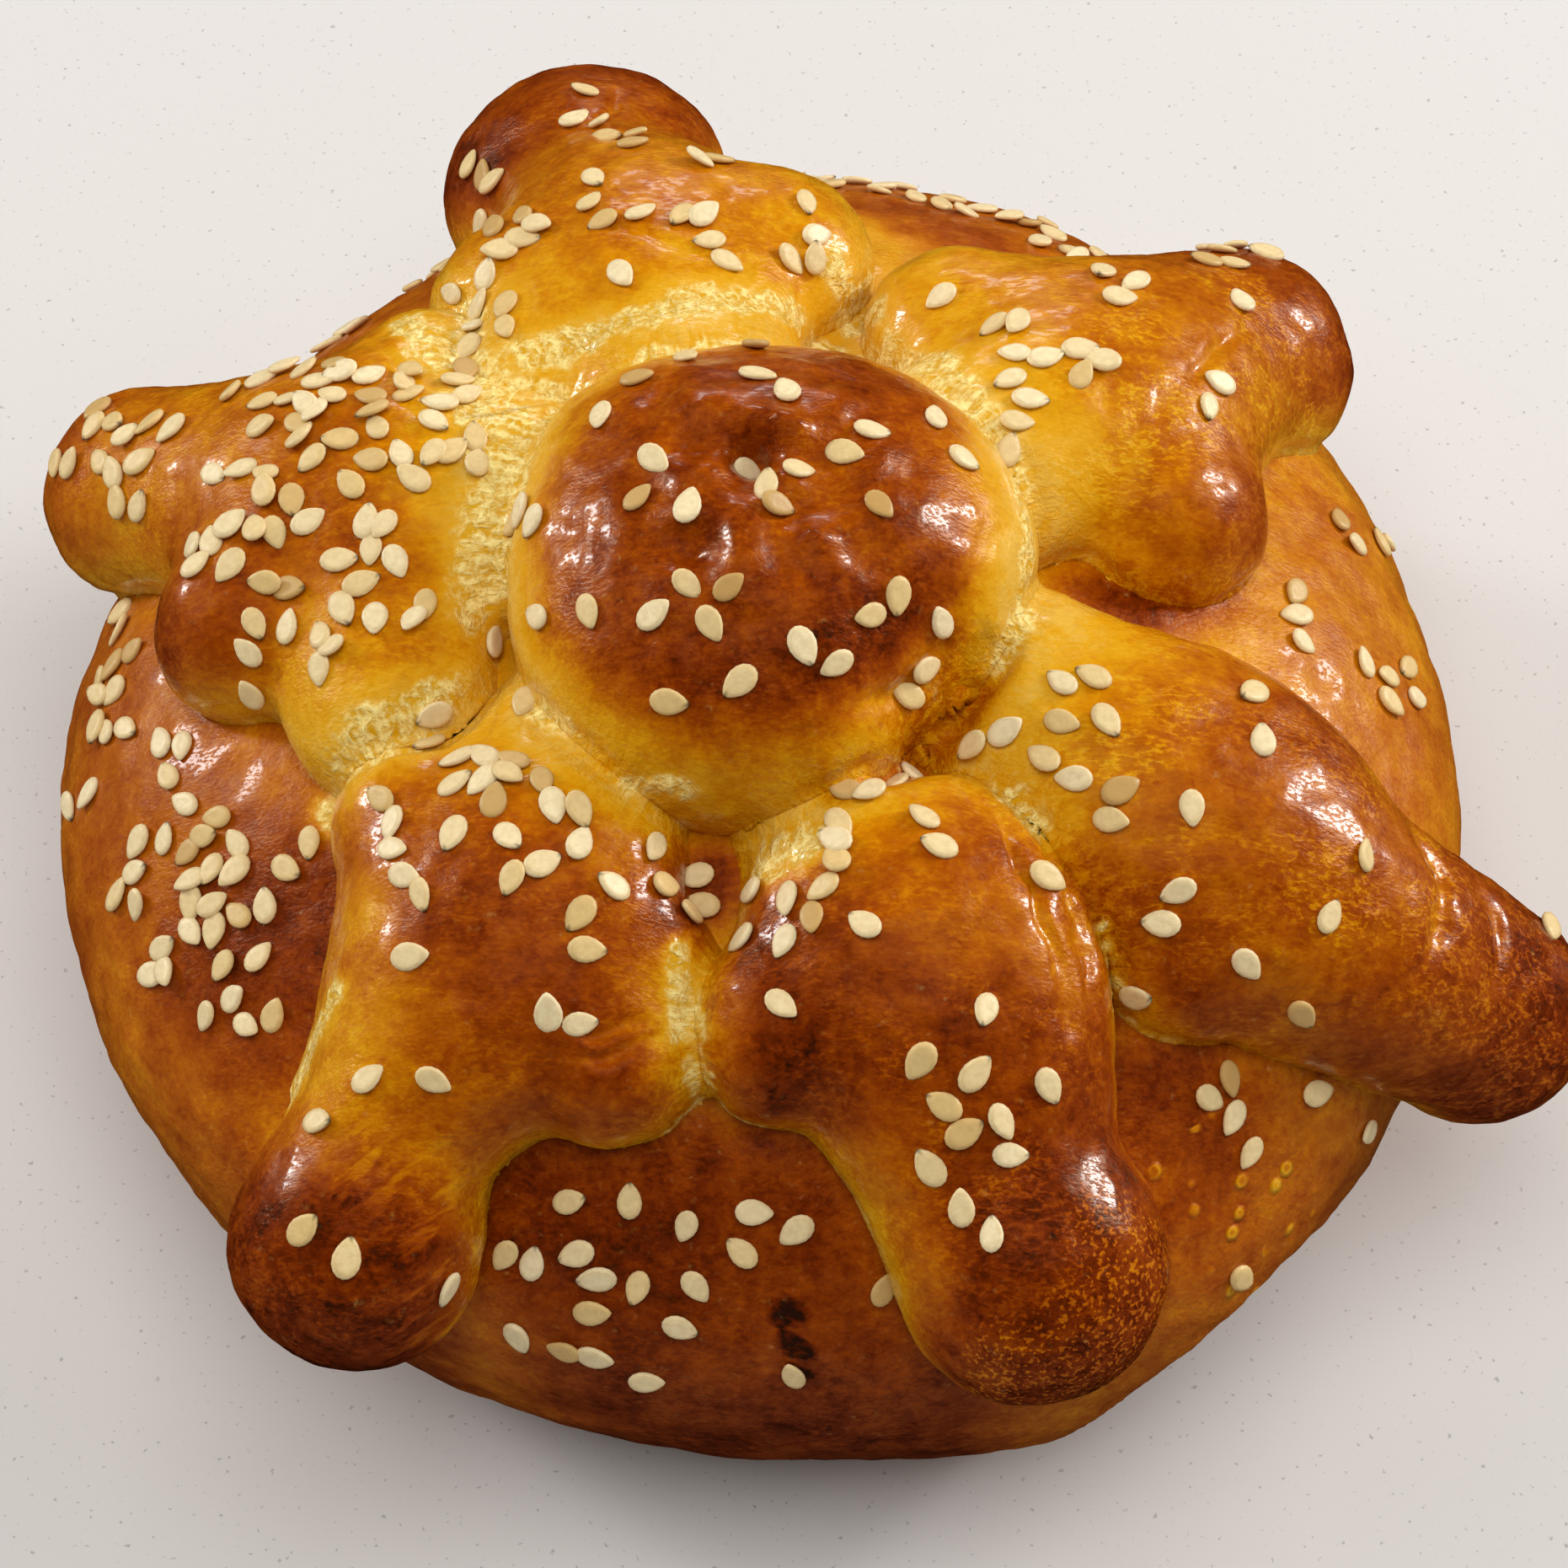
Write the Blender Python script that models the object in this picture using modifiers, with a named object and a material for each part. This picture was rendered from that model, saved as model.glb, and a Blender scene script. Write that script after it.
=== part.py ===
"""Sesame butter bun with crossed strips of dough.

A round loaf carries bone-shaped strips of dough that cross on its top, and a knob of dough sits
on the crossing. Each piece was shaped by hand and laid on the one below it, so each is a solid
of its own, cut back to a thin seam where it rests. Sesame seeds are fused to the crust.

Units are metres and +Z is up. The origin is on the table, under the middle of the loaf.
"""

import math
import random
from collections import namedtuple

import bmesh
import bpy
from mathutils import Matrix, Vector, noise
from mathutils.bvhtree import BVHTree

MM = 0.001
QUARTER_TURN = math.pi / 2

# The loaf: its widest ring, its height and the flat spot that it rests on.
LOAF_RADIUS = 56.0 * MM
LOAF_HEIGHT = 51.0 * MM
WIDEST_HEIGHT = 23.0 * MM
BASE_RADIUS = 37.0 * MM
CROWN = LOAF_HEIGHT - WIDEST_HEIGHT
LOAF_TURN_STEPS = 40
CROWN_RINGS = 8
BELLY_RINGS = 6

# How far an outline is from round: bulges in a turn, then their share of the radius (as the
# cosine and as the sine of the azimuth).
Wave = namedtuple("Wave", "bulges cosine sine")
LOAF_WAVES = (Wave(1, 0.021, 0.013), Wave(2, -0.012, 0.0), Wave(3, -0.017, -0.012))
KNOB_WAVES = (Wave(2, 0.0, 0.025), Wave(3, 0.02, 0.015))

# Low, broad lumps that proofed dough has.
LUMP_SIZE = 34.0 * MM
LUMP_DEPTH = 0.7 * MM

# A fold stands out low on the loaf's front right, beside a side that was pressed flat.
FOLD_AZIMUTH = math.radians(-65.0)
FOLD_HEIGHT = 9.0 * MM
FOLD_REACH = 3.0 * MM
FOLD_HALF_TURN = math.radians(13.0)
FOLD_HALF_HEIGHT = 9.0 * MM
PRESSED_WAY = Vector((0.64, -0.65, -0.41)).normalized()
PRESSED_REACH = 42.9 * MM

# Shaping of the hand-rolled dough.
BALL_SPACING = 1.6 * MM
DOUGH_VOXEL = 1.0 * MM
SMOOTHING = 0.5
SMOOTHING_PASSES = 9
STRIP_TRIANGLES = 880
KNOB_TRIANGLES = 380
SEAM = 0.35 * MM
SMOOTH_SHADING_UNDER = math.radians(40.0)

# The knob on the crossing, and the dents in its top (place from its middle, half-width, depth).
KNOB_CENTRE = Vector((0.8, -1.6, 53.6)) * MM
KNOB_HALF_SIZE = Vector((19.5, 19.6, 13.8)) * MM
Dent = namedtuple("Dent", "place half_width depth")
KNOB_DENTS = (
    Dent(Vector((-3.5, 3.0)) * MM, 3.4 * MM, 1.5 * MM),
    Dent(Vector((2.5, 6.5)) * MM, 3.0 * MM, 1.1 * MM),
)

# A ball of dough on the crust: where it is (degrees round from +X, degrees down from the top, and
# millimetres above the crust) and how large (millimetres of half-width, and of half-thickness
# across the crust).
Ball = namedtuple("Ball", "azimuth tilt rise width thick")

# Each half of a strip, from the crossing to its end: root, knuckle, neck and tip. The lobes are
# the side bulges of its knuckle.
ARMS = {
    "back": {
        "spine": (
            Ball(107, 22, 1.0, 10.0, 7.6),
            Ball(105, 36, 1.0, 12.8, 9.6),
            Ball(106, 53, 1.0, 9.6, 8.8),
            Ball(106, 67, 2.0, 12.2, 10.8),
        ),
        "lobes": (
            Ball(121, 38, 0.5, 8.6, 8.0),
            Ball(90, 37, 0.8, 9.6, 8.2),
            Ball(133, 28, 0.3, 8.0, 6.6),
        ),
    },
    "right_back": {
        "spine": (
            Ball(34, 22, 1.0, 10.0, 7.6),
            Ball(37, 36, 1.0, 12.8, 9.4),
            Ball(39, 50, 1.0, 10.4, 8.8),
            Ball(38.5, 60, 1.3, 9.6, 9.4),
        ),
        "lobes": (Ball(17, 35, 0.5, 8.4, 7.8), Ball(58, 33, 0.2, 8.6, 7.4)),
    },
    "right": {
        "spine": (
            Ball(-27, 24, 0.5, 9.8, 7.4),
            Ball(-29, 40, 0.8, 13.6, 10.0),
            Ball(-28.5, 57, 1.7, 10.7, 9.2),
            Ball(-23, 82, 4.0, 8.8, 8.8),
        ),
        "lobes": (Ball(-40.5, 45.5, 0.5, 7.6, 7.4),),
    },
    "front": {
        "spine": (
            Ball(-70, 22, -1.0, 9.2, 6.6),
            Ball(-68, 35, 0.8, 13.0, 10.0),
            Ball(-69, 53, 0.8, 9.6, 8.6),
            Ball(-68, 64.5, 2.0, 10.2, 9.8),
        ),
        "lobes": (Ball(-87, 38, 0.8, 7.0, 7.4),),
    },
    "left_front": {
        "spine": (
            Ball(-130, 22, -1.0, 9.6, 6.6),
            Ball(-123, 35, 0.5, 12.4, 9.4),
            Ball(-123, 54, 0.6, 7.8, 8.0),
            Ball(-122, 68, 2.5, 9.4, 9.2),
        ),
        "lobes": (Ball(-106, 41, 0.2, 7.2, 7.0), Ball(-142, 33, 0.2, 7.0, 7.0)),
    },
    "left": {
        "spine": (
            Ball(157, 24, 0.0, 11.0, 7.8),
            Ball(160, 35, 0.5, 12.8, 9.4),
            Ball(159, 52, 0.8, 9.6, 8.2),
            Ball(158, 66, 1.6, 8.8, 8.6),
        ),
        "lobes": (
            Ball(180, 42, 1.2, 7.6, 7.8),
            Ball(-163, 30, 0.0, 8.2, 6.8),
            Ball(140, 36, 0.4, 7.6, 7.0),
        ),
    },
}

# The strips, lowest first: two arms that face each other, and the ball where the strip crosses.
Strip = namedtuple("Strip", "name first second crossing")
STRIPS = (
    Strip("strip_lower", "right_back", "left_front", Ball(0, 0, -1.0, 9.5, 6.0)),
    Strip("strip_middle", "left", "right", Ball(0, 0, 1.5, 9.5, 6.0)),
    Strip("strip_upper", "back", "front", Ball(0, 0, 4.0, 9.5, 5.5)),
)

# Sesame seeds are flat, and pointed at one end.
SEED_LENGTH = 3.2 * MM
SEED_WIDTH = 2.1 * MM
SEED_THICKNESS = 1.15 * MM
SEED_SUNK = 0.5 * MM
SEED_SIDES = 6
SEED_TOP_SHARE = 0.74
SEED_TAPER = 0.5
SEED_SIZES = (0.92, 1.1)

# Where a seed can lie: clear of other seeds and pieces, above the foot of the loaf, where the
# crust faces outwards and is nearly flat under it.
SEED_SPACING = 3.0 * MM
SEED_CLEARANCE = 2.25 * MM
LOWEST_SEED = 9.0 * MM
SEED_FACING = 0.45
SEED_BEND_LIMIT = 0.3 * MM

# Seeds as they were thrown on by hand: where each handful fell and how far it spread (degrees),
# and how many seeds it held.
Handful = namedtuple("Handful", "azimuth tilt spread seeds")
HANDFULS = (
    Handful(200, 6, 11, 30),
    Handful(106, 66, 9, 8),
    Handful(104, 42, 9, 26),
    Handful(38, 40, 11, 16),
    Handful(42, 62, 6, 4),
    Handful(-28, 34, 9, 12),
    Handful(-26, 56, 9, 13),
    Handful(-68, 30, 7, 12),
    Handful(-66, 54, 9, 16),
    Handful(-124, 28, 8, 21),
    Handful(-122, 48, 12, 12),
    Handful(160, 38, 11, 49),
    Handful(158, 64, 7, 14),
    Handful(-160, 66, 12, 37),
    Handful(-95, 68, 11, 21),
    Handful(-45, 70, 9, 8),
    Handful(5, 66, 13, 12),
    Handful(72, 62, 12, 19),
    Handful(132, 66, 9, 9),
)

# Each piece's crust, as linear red, green and blue, and its roughness.
Crust = namedtuple("Crust", "colour roughness")
LOAF_CRUST = Crust((0.45, 0.17, 0.03), 0.36)
STRIP_CRUST = Crust((0.5, 0.2, 0.03), 0.3)
KNOB_CRUST = Crust((0.3, 0.09, 0.02), 0.28)


def plan_share(azimuth, waves):
    """How far out an uneven outline is at this azimuth, as a share of its radius."""
    return 1 + sum(
        wave.cosine * math.cos(wave.bulges * azimuth) + wave.sine * math.sin(wave.bulges * azimuth)
        for wave in waves
    )


def crust_point(azimuth, tilt, rise=0.0):
    """The point of the loaf's crown at this azimuth and tilt (radians), raised off the crust."""
    out, up = LOAF_RADIUS * math.sin(tilt), CROWN * math.cos(tilt)
    outward = Vector((math.sin(tilt) / LOAF_RADIUS, math.cos(tilt) / CROWN)).normalized()
    out, up = out + outward.x * rise, up + outward.y * rise
    return Vector((out * math.cos(azimuth), out * math.sin(azimuth), WIDEST_HEIGHT + up))


def crust_normal(point):
    """The outward direction of the crown's ellipsoid at a point on or near it."""
    flat = point.xy / LOAF_RADIUS**2
    return Vector((flat.x, flat.y, (point.z - WIDEST_HEIGHT) / CROWN**2)).normalized()


def ball_point(ball):
    return crust_point(math.radians(ball.azimuth), math.radians(ball.tilt), ball.rise * MM)


def crust_material(name, crust):
    material = bpy.data.materials.new(name)
    material.use_nodes = True
    shader = material.node_tree.nodes["Principled BSDF"]
    shader.inputs["Base Color"].default_value = (*crust.colour, 1.0)
    shader.inputs["Roughness"].default_value = crust.roughness
    shader.inputs["Metallic"].default_value = 0.0
    return material


def new_collection(name, parent):
    collection = bpy.data.collections.new(name)
    parent.children.link(collection)
    return collection


def new_object(name, mesh, collection):
    obj = bpy.data.objects.new(name, mesh)
    collection.objects.link(obj)
    return obj


def object_from_bmesh(name, shape, collection):
    """Turns a bmesh into an object, and frees the bmesh."""
    mesh = bpy.data.meshes.new(name)
    shape.to_mesh(mesh)
    shape.free()
    return new_object(name, mesh, collection)


def apply_modifiers(obj):
    """Replaces the object's mesh with what its modifiers make of it."""
    bpy.context.view_layer.update()
    graph = bpy.context.evaluated_depsgraph_get()
    mesh = bpy.data.meshes.new_from_object(obj.evaluated_get(graph))
    obj.modifiers.clear()
    obj.data = mesh


def connected_pieces(shape):
    """The sets of vertices that hang together."""
    unseen, pieces = set(shape.verts), []
    while unseen:
        piece, waiting = set(), [unseen.pop()]
        while waiting:
            vert = waiting.pop()
            piece.add(vert)
            around = {edge.other_vert(vert) for edge in vert.link_edges} & unseen
            unseen -= around
            waiting.extend(around)
        pieces.append(piece)
    return pieces


def keep_largest_piece(obj):
    """Drops the loose scraps that a Boolean leaves beside the main body."""
    shape = bmesh.new()
    shape.from_mesh(obj.data)
    scraps = sorted(connected_pieces(shape), key=len)[:-1]
    bmesh.ops.delete(shape, geom=[vert for scrap in scraps for vert in scrap], context="VERTS")
    shape.to_mesh(obj.data)
    shape.free()


def turned_object(name, profile, steps, collection):
    """A closed round body from a profile of (radius, height) that runs top to bottom."""
    shape = bmesh.new()
    verts = [shape.verts.new((radius, 0.0, height)) for radius, height in profile]
    for upper, lower in zip(verts, verts[1:]):
        shape.edges.new((upper, lower))
    obj = object_from_bmesh(name, shape, collection)
    screw = obj.modifiers.new("Turn", "SCREW")
    screw.axis = "Z"
    screw.steps = screw.render_steps = steps
    screw.use_merge_vertices = True
    screw.merge_threshold = 0.0001
    apply_modifiers(obj)
    return obj


def loaf_profile():
    """Half of the loaf's section: a domed crown, a rounded belly and a flat base."""
    crown_turns = [QUARTER_TURN * ring / CROWN_RINGS for ring in range(CROWN_RINGS + 1)]
    belly_turns = [QUARTER_TURN * ring / BELLY_RINGS for ring in range(1, BELLY_RINGS + 1)]
    belly = LOAF_RADIUS - BASE_RADIUS
    return [
        *((LOAF_RADIUS * math.sin(turn), WIDEST_HEIGHT + CROWN * math.cos(turn)) for turn in crown_turns),
        *((BASE_RADIUS + belly * math.cos(turn), WIDEST_HEIGHT * (1 - math.sin(turn))) for turn in belly_turns),
        (0.0, 0.0),
    ]


def proof(point):
    """Moves a point of the turned loaf to where the risen, uneven loaf has it."""
    off_table = min(1.0, point.z / WIDEST_HEIGHT)
    point += crust_normal(point) * noise.noise(point / LUMP_SIZE) * LUMP_DEPTH * off_table
    azimuth = math.atan2(point.y, point.x)
    point.xy *= plan_share(azimuth, LOAF_WAVES)
    around = (azimuth - FOLD_AZIMUTH) / FOLD_HALF_TURN
    above = (point.z - FOLD_HEIGHT) / FOLD_HALF_HEIGHT
    point.xy += point.xy.normalized() * FOLD_REACH * math.exp(-(around**2) - above**2) * off_table
    pressed = max(0.0, point.dot(PRESSED_WAY) - PRESSED_REACH)
    point.xy -= PRESSED_WAY.xy * pressed / PRESSED_WAY.xy.length_squared


def make_loaf(collection):
    loaf = turned_object("loaf", loaf_profile(), LOAF_TURN_STEPS, collection)
    for vert in loaf.data.vertices:
        proof(vert.co)
    return loaf


def curve_through(before, start, end, after, share):
    """The Catmull-Rom curve from start to end, at this share of the way."""
    return (
        start
        + (end - before) * (share / 2)
        + (before * 2 - start * 5 + end * 4 - after) * (share**2 / 2)
        + (start * 3 - before - end * 3 + after) * (share**3 / 2)
    )


def rolled_balls(stations):
    """Centres and sizes of balls close together along a smooth line through the stations."""
    centres = [ball_point(ball) for ball in stations]
    sizes = [Vector((ball.width, ball.thick)) * MM for ball in stations]
    centres = [2 * centres[0] - centres[1], *centres, 2 * centres[-1] - centres[-2]]
    sizes = [sizes[0], *sizes, sizes[-1]]
    balls = []
    for first in range(len(stations) - 1):
        steps = max(2, round((centres[first + 2] - centres[first + 1]).length / BALL_SPACING))
        for step in range(steps + 1):
            centre = curve_through(*centres[first : first + 4], step / steps)
            size = curve_through(*sizes[first : first + 4], step / steps)
            balls.append((centre, size))
    return balls


def add_ball(shape, centre, size):
    """Adds a ball that is flattened along the crust's normal."""
    turn = crust_normal(centre).to_track_quat("Z", "Y").to_matrix().to_4x4()
    matrix = Matrix.Translation(centre) @ turn @ Matrix.Diagonal((size.x, size.x, size.y, 1))
    bmesh.ops.create_icosphere(shape, subdivisions=3, radius=1.0, matrix=matrix)


def knead(obj, triangles):
    """Fuses overlapping balls into one skin, smooths it and thins it to this many triangles."""
    fuse = obj.modifiers.new("Fuse", "REMESH")
    fuse.mode = "VOXEL"
    fuse.voxel_size = DOUGH_VOXEL
    smooth = obj.modifiers.new("Smooth", "SMOOTH")
    smooth.factor = SMOOTHING
    smooth.iterations = SMOOTHING_PASSES
    apply_modifiers(obj)
    thin = obj.modifiers.new("Thin", "DECIMATE")
    thin.ratio = triangles / (2 * len(obj.data.polygons))
    apply_modifiers(obj)


def make_strip(strip, collection):
    """One strip: balls of dough along its line and in its lobes, kneaded into one body."""
    arms = (ARMS[strip.first], ARMS[strip.second])
    lines = [(*reversed(arms[0]["spine"]), strip.crossing, *arms[1]["spine"])]
    for arm in arms:
        knuckle = arm["spine"][1]
        lines += [(knuckle, lobe) for lobe in arm["lobes"]]
    shape = bmesh.new()
    for line in lines:
        for centre, size in rolled_balls(line):
            add_ball(shape, centre, size)
    obj = object_from_bmesh(strip.name, shape, collection)
    knead(obj, STRIP_TRIANGLES)
    return obj


def make_knob(collection):
    """The knob: a flattened, uneven ball with dents pressed in its top."""
    shape = bmesh.new()
    bmesh.ops.create_icosphere(shape, subdivisions=5, radius=1.0)
    for vert in shape.verts:
        flat = vert.co.xy * KNOB_HALF_SIZE.xy
        flat *= plan_share(math.atan2(flat.y, flat.x), KNOB_WAVES)
        height = vert.co.z * KNOB_HALF_SIZE.z
        if height > 0:
            for dent in KNOB_DENTS:
                away = (flat - dent.place).length / dent.half_width
                height -= dent.depth * math.exp(-(away**2))
        vert.co = KNOB_CENTRE + Vector((flat.x, flat.y, height))
    knob = object_from_bmesh("knob", shape, collection)
    knead(knob, KNOB_TRIANGLES)
    return knob


def seam_cutter(obj, collection):
    """A copy that stands out by the width of a seam, to cut the pieces that rest on it."""
    cutter = new_object(obj.name + "_cutter", obj.data.copy(), collection)
    cutter.hide_render = True
    cutter.display_type = "WIRE"
    swell = cutter.modifiers.new("Seam", "DISPLACE")
    swell.strength = SEAM
    swell.mid_level = 0.0
    apply_modifiers(cutter)
    return cutter


def rest_on(obj, cutters):
    """Cuts the piece back to the seam along everything that lies under it."""
    for cutter in cutters:
        cut = obj.modifiers.new("Rest", "BOOLEAN")
        cut.operation = "DIFFERENCE"
        cut.solver = "EXACT"
        cut.object = cutter
    apply_modifiers(obj)
    keep_largest_piece(obj)


def seed_mesh():
    """A seed lying flat, with its tip towards +X and its lower face sunk in the crust."""
    shape = bmesh.new()
    bmesh.ops.create_cone(
        shape, cap_ends=True, segments=SEED_SIDES, radius1=0.5, radius2=0.5 * SEED_TOP_SHARE, depth=1.0
    )
    tip_forward = Matrix.Rotation(-QUARTER_TURN, 4, "Z")
    for vert in shape.verts:
        x, y, z = tip_forward @ vert.co
        width = SEED_WIDTH * (1 - SEED_TAPER * x)
        vert.co = (x * SEED_LENGTH, y * width, (z + 0.5) * SEED_THICKNESS - SEED_SUNK)
    mesh = bpy.data.meshes.new("seed")
    shape.to_mesh(mesh)
    shape.free()
    return mesh


def surface_tree(obj):
    shape = bmesh.new()
    shape.from_mesh(obj.data)
    tree = BVHTree.FromBMesh(shape)
    shape.free()
    return tree


def seed_seat(trees, way, spin, size):
    """Which piece a seed falls on along this way into the loaf, and how it lies, or None."""
    heart = Vector((0.0, 0.0, WIDEST_HEIGHT))
    hits = []
    for name, tree in trees.items():
        place, normal, _, distance = tree.ray_cast(heart + way * 3 * LOAF_RADIUS, -way)
        if place is not None:
            hits.append((distance, name, place, normal))
    _, name, place, normal = min(hits)
    if place.z < LOWEST_SEED or normal.dot(way) < SEED_FACING:
        return None
    if any(tree.find_nearest(place)[3] < SEED_CLEARANCE for other, tree in trees.items() if other != name):
        return None
    turn = normal.to_track_quat("Z", "Y").to_matrix().to_4x4() @ Matrix.Rotation(spin, 4, "Z")
    matrix = Matrix.Translation(place) @ turn @ Matrix.Scale(size, 4)
    for x, y in ((0.5, 0.0), (-0.5, 0.0), (0.0, 0.5), (0.0, -0.5)):
        edge = matrix @ Vector((x * SEED_LENGTH, y * SEED_WIDTH, 0.0))
        if trees[name].find_nearest(edge)[3] > SEED_BEND_LIMIT:
            return None
    return name, matrix


def throw_seeds(pieces):
    """Where each seed lies, as the name of its piece and a matrix, handful by handful."""
    trees = {piece.name: surface_tree(piece) for piece in pieces}
    heart = Vector((0.0, 0.0, WIDEST_HEIGHT))
    seats = []
    for number, handful in enumerate(HANDFULS):
        draw = random.Random(number)
        middle = crust_point(math.radians(handful.azimuth), math.radians(handful.tilt)) - heart
        middle.normalize()
        side = middle.orthogonal().normalized()
        spread = math.radians(handful.spread)
        for _ in range(handful.seeds):
            along, across = draw.gauss(0, spread), draw.gauss(0, spread)
            spin, size = draw.uniform(0, math.tau), draw.uniform(*SEED_SIZES)
            way = (middle + side * along + middle.cross(side) * across).normalized()
            seat = seed_seat(trees, way, spin, size)
            if seat and all(
                (seat[1].translation - other.translation).length > SEED_SPACING for _, other in seats
            ):
                seats.append(seat)
    return seats


def fuse_seeds(piece, seats, seed, parent):
    """Joins a piece's seeds to it with one union, then removes the loose ones."""
    handful = new_collection(piece.name + "_seeds", parent)
    for matrix in seats:
        new_object("seed", seed, handful).matrix_world = matrix
    union = piece.modifiers.new("Seeds", "BOOLEAN")
    union.operation = "UNION"
    union.operand_type = "COLLECTION"
    union.solver = "EXACT"
    union.collection = handful
    apply_modifiers(piece)
    for grain in list(handful.objects):
        bpy.data.objects.remove(grain)
    bpy.data.collections.remove(handful)
    keep_largest_piece(piece)


def finish(piece, crust, parent):
    piece.data.materials.clear()
    piece.data.materials.append(crust_material(piece.name + "_crust", crust))
    piece.data.shade_smooth()
    piece.data.set_sharp_from_angle(angle=SMOOTH_SHADING_UNDER)
    piece.parent = parent


def main():
    for obj in list(bpy.data.objects):
        bpy.data.objects.remove(obj)
    root = bpy.context.scene.collection
    bun = new_collection("sesame_butter_bun", root)
    cutters = new_collection("cutters", root)

    loaf = make_loaf(bun)
    pieces, below = [loaf], [seam_cutter(loaf, cutters)]
    for strip in STRIPS:
        piece = make_strip(strip, bun)
        cutter = seam_cutter(piece, cutters)
        rest_on(piece, below)
        pieces.append(piece)
        below.append(cutter)
    knob = make_knob(bun)
    rest_on(knob, below)
    pieces.append(knob)

    seed = seed_mesh()
    seats = throw_seeds(pieces)
    origin = new_object("bun_origin", None, bun)
    crusts = {"loaf": LOAF_CRUST, "knob": KNOB_CRUST}
    for piece in pieces:
        fuse_seeds(piece, [matrix for name, matrix in seats if name == piece.name], seed, cutters)
        finish(piece, crusts.get(piece.name, STRIP_CRUST), origin)
    for cutter in below:
        bpy.data.objects.remove(cutter)
    print(len(seats), "seeds on", len(pieces), "pieces")


main()
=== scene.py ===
# %% [markdown]
# A sesame butter bun, modelled in Blender
#
# The real bun is a round loaf of egg dough. Three hand-rolled strips with bulging knuckles cross on
# its top, a knob of dough sits on the crossing, and the whole is brushed with egg, strewn with
# sesame and baked. The lesson goes in the baker's order: the dough pieces first, then the oven's
# work (relief, torn edges, browning), then the seeds.
#
# A plain model of the bun is loaded first. It gives the true sizes, and each piece made here
# takes the place of one of its pieces, so nothing has to be fitted afterwards.

# %% Load the plain model and set the millimetre
import math
import random

import bmesh
import bpy
import numpy as np
from mathutils import Matrix, Vector, noise
from mathutils.bvhtree import BVHTree
from mathutils.kdtree import KDTree


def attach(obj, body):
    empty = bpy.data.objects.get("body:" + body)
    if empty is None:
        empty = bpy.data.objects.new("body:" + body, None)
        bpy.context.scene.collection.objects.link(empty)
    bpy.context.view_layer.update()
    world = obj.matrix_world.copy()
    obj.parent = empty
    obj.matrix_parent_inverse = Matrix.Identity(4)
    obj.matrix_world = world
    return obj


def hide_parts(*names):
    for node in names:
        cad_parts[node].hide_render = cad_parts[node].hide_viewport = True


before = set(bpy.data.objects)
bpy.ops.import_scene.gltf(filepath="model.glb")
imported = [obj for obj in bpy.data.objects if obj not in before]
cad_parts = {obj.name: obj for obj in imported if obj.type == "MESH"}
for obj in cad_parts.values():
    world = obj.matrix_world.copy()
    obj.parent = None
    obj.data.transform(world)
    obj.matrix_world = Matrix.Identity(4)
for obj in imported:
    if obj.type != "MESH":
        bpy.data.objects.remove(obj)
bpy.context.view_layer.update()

MM = 0.001

# %% [markdown]
# The view
#
# A food photographer looks down on the bun from about sixty degrees with a long lens, so that its
# plan shows with little perspective. A camera is placed by its distance from a target and by its
# height angle, and its lens follows from how wide the picture is.

# %% Camera
VIEW_TARGET = Vector((0.002, -0.001, 0.025))
VIEW_DISTANCE = 0.320
VIEW_HEIGHT_ANGLE = math.radians(58.0)
VIEW_WIDTH_ANGLE = math.radians(22.0)
SENSOR_WIDTH = 36.0

camera_data = bpy.data.cameras.new("camera")
camera_data.sensor_width = SENSOR_WIDTH
camera_data.lens = SENSOR_WIDTH / 2 / math.tan(VIEW_WIDTH_ANGLE / 2)
camera_data.clip_start = 0.01
camera = bpy.data.objects.new("camera", camera_data)
bpy.context.scene.collection.objects.link(camera)
looking = Vector((0.0, math.cos(VIEW_HEIGHT_ANGLE), -math.sin(VIEW_HEIGHT_ANGLE)))
camera.location = VIEW_TARGET - looking * VIEW_DISTANCE
camera.rotation_euler = looking.to_track_quat("-Z", "Y").to_euler()
bpy.context.scene.camera = camera
print("camera at", [round(value, 3) for value in camera.location], "lens", round(camera_data.lens, 1))

# %% [markdown]
# The light
#
# An egg-washed crust shows its gloss as small sparkling patches, where two windows stand low behind
# the bun on either side, and as a faint sheen from the wall between them. Where none of these is
# mirrored, the crust keeps its deep colour. The rest of the light is soft and seen only by
# what it falls on: a ceiling, and the bright corners of the room round each window.

# %% Lights
def add_softbox(name, azimuth, height_angle, distance, width, height, power):
    """A rectangular light that faces the bun, placed by its angles in degrees."""
    data = bpy.data.lights.new(name, "AREA")
    data.shape = "RECTANGLE"
    data.size = width
    data.size_y = height
    data.energy = power
    softbox = bpy.data.objects.new(name, data)
    bpy.context.scene.collection.objects.link(softbox)
    turn, rise = math.radians(azimuth), math.radians(height_angle)
    way = Vector((math.cos(rise) * math.cos(turn), math.cos(rise) * math.sin(turn), math.sin(rise)))
    softbox.location = VIEW_TARGET + way * distance
    softbox.rotation_euler = way.to_track_quat("Z", "Y").to_euler()
    return softbox


# Each light: degrees round and up, distance, width and height in metres, watts, and whether the
# crust mirrors it.
SOFTBOXES = {
    "window_left": (154, 20, 0.9, 0.12, 0.25, 2.4, True),
    "window_right": (26, 24, 0.9, 0.15, 0.36, 4.2, True),
    "back_wall": (90, 22, 1.0, 0.40, 0.16, 0.9, True),
    "ceiling": (-90, 81, 1.1, 0.8, 0.8, 7.7, False),
    "corner_left": (168, 34, 1.2, 0.9, 0.9, 3.6, False),
    "corner_right": (12, 34, 1.2, 0.9, 0.9, 3.7, False),
}
ROOM_COLOUR = (1.0, 0.96, 0.9, 1.0)
ROOM_STRENGTH = 0.15
for name, (*values, mirrored) in SOFTBOXES.items():
    add_softbox(name, *values).visible_glossy = mirrored

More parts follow.
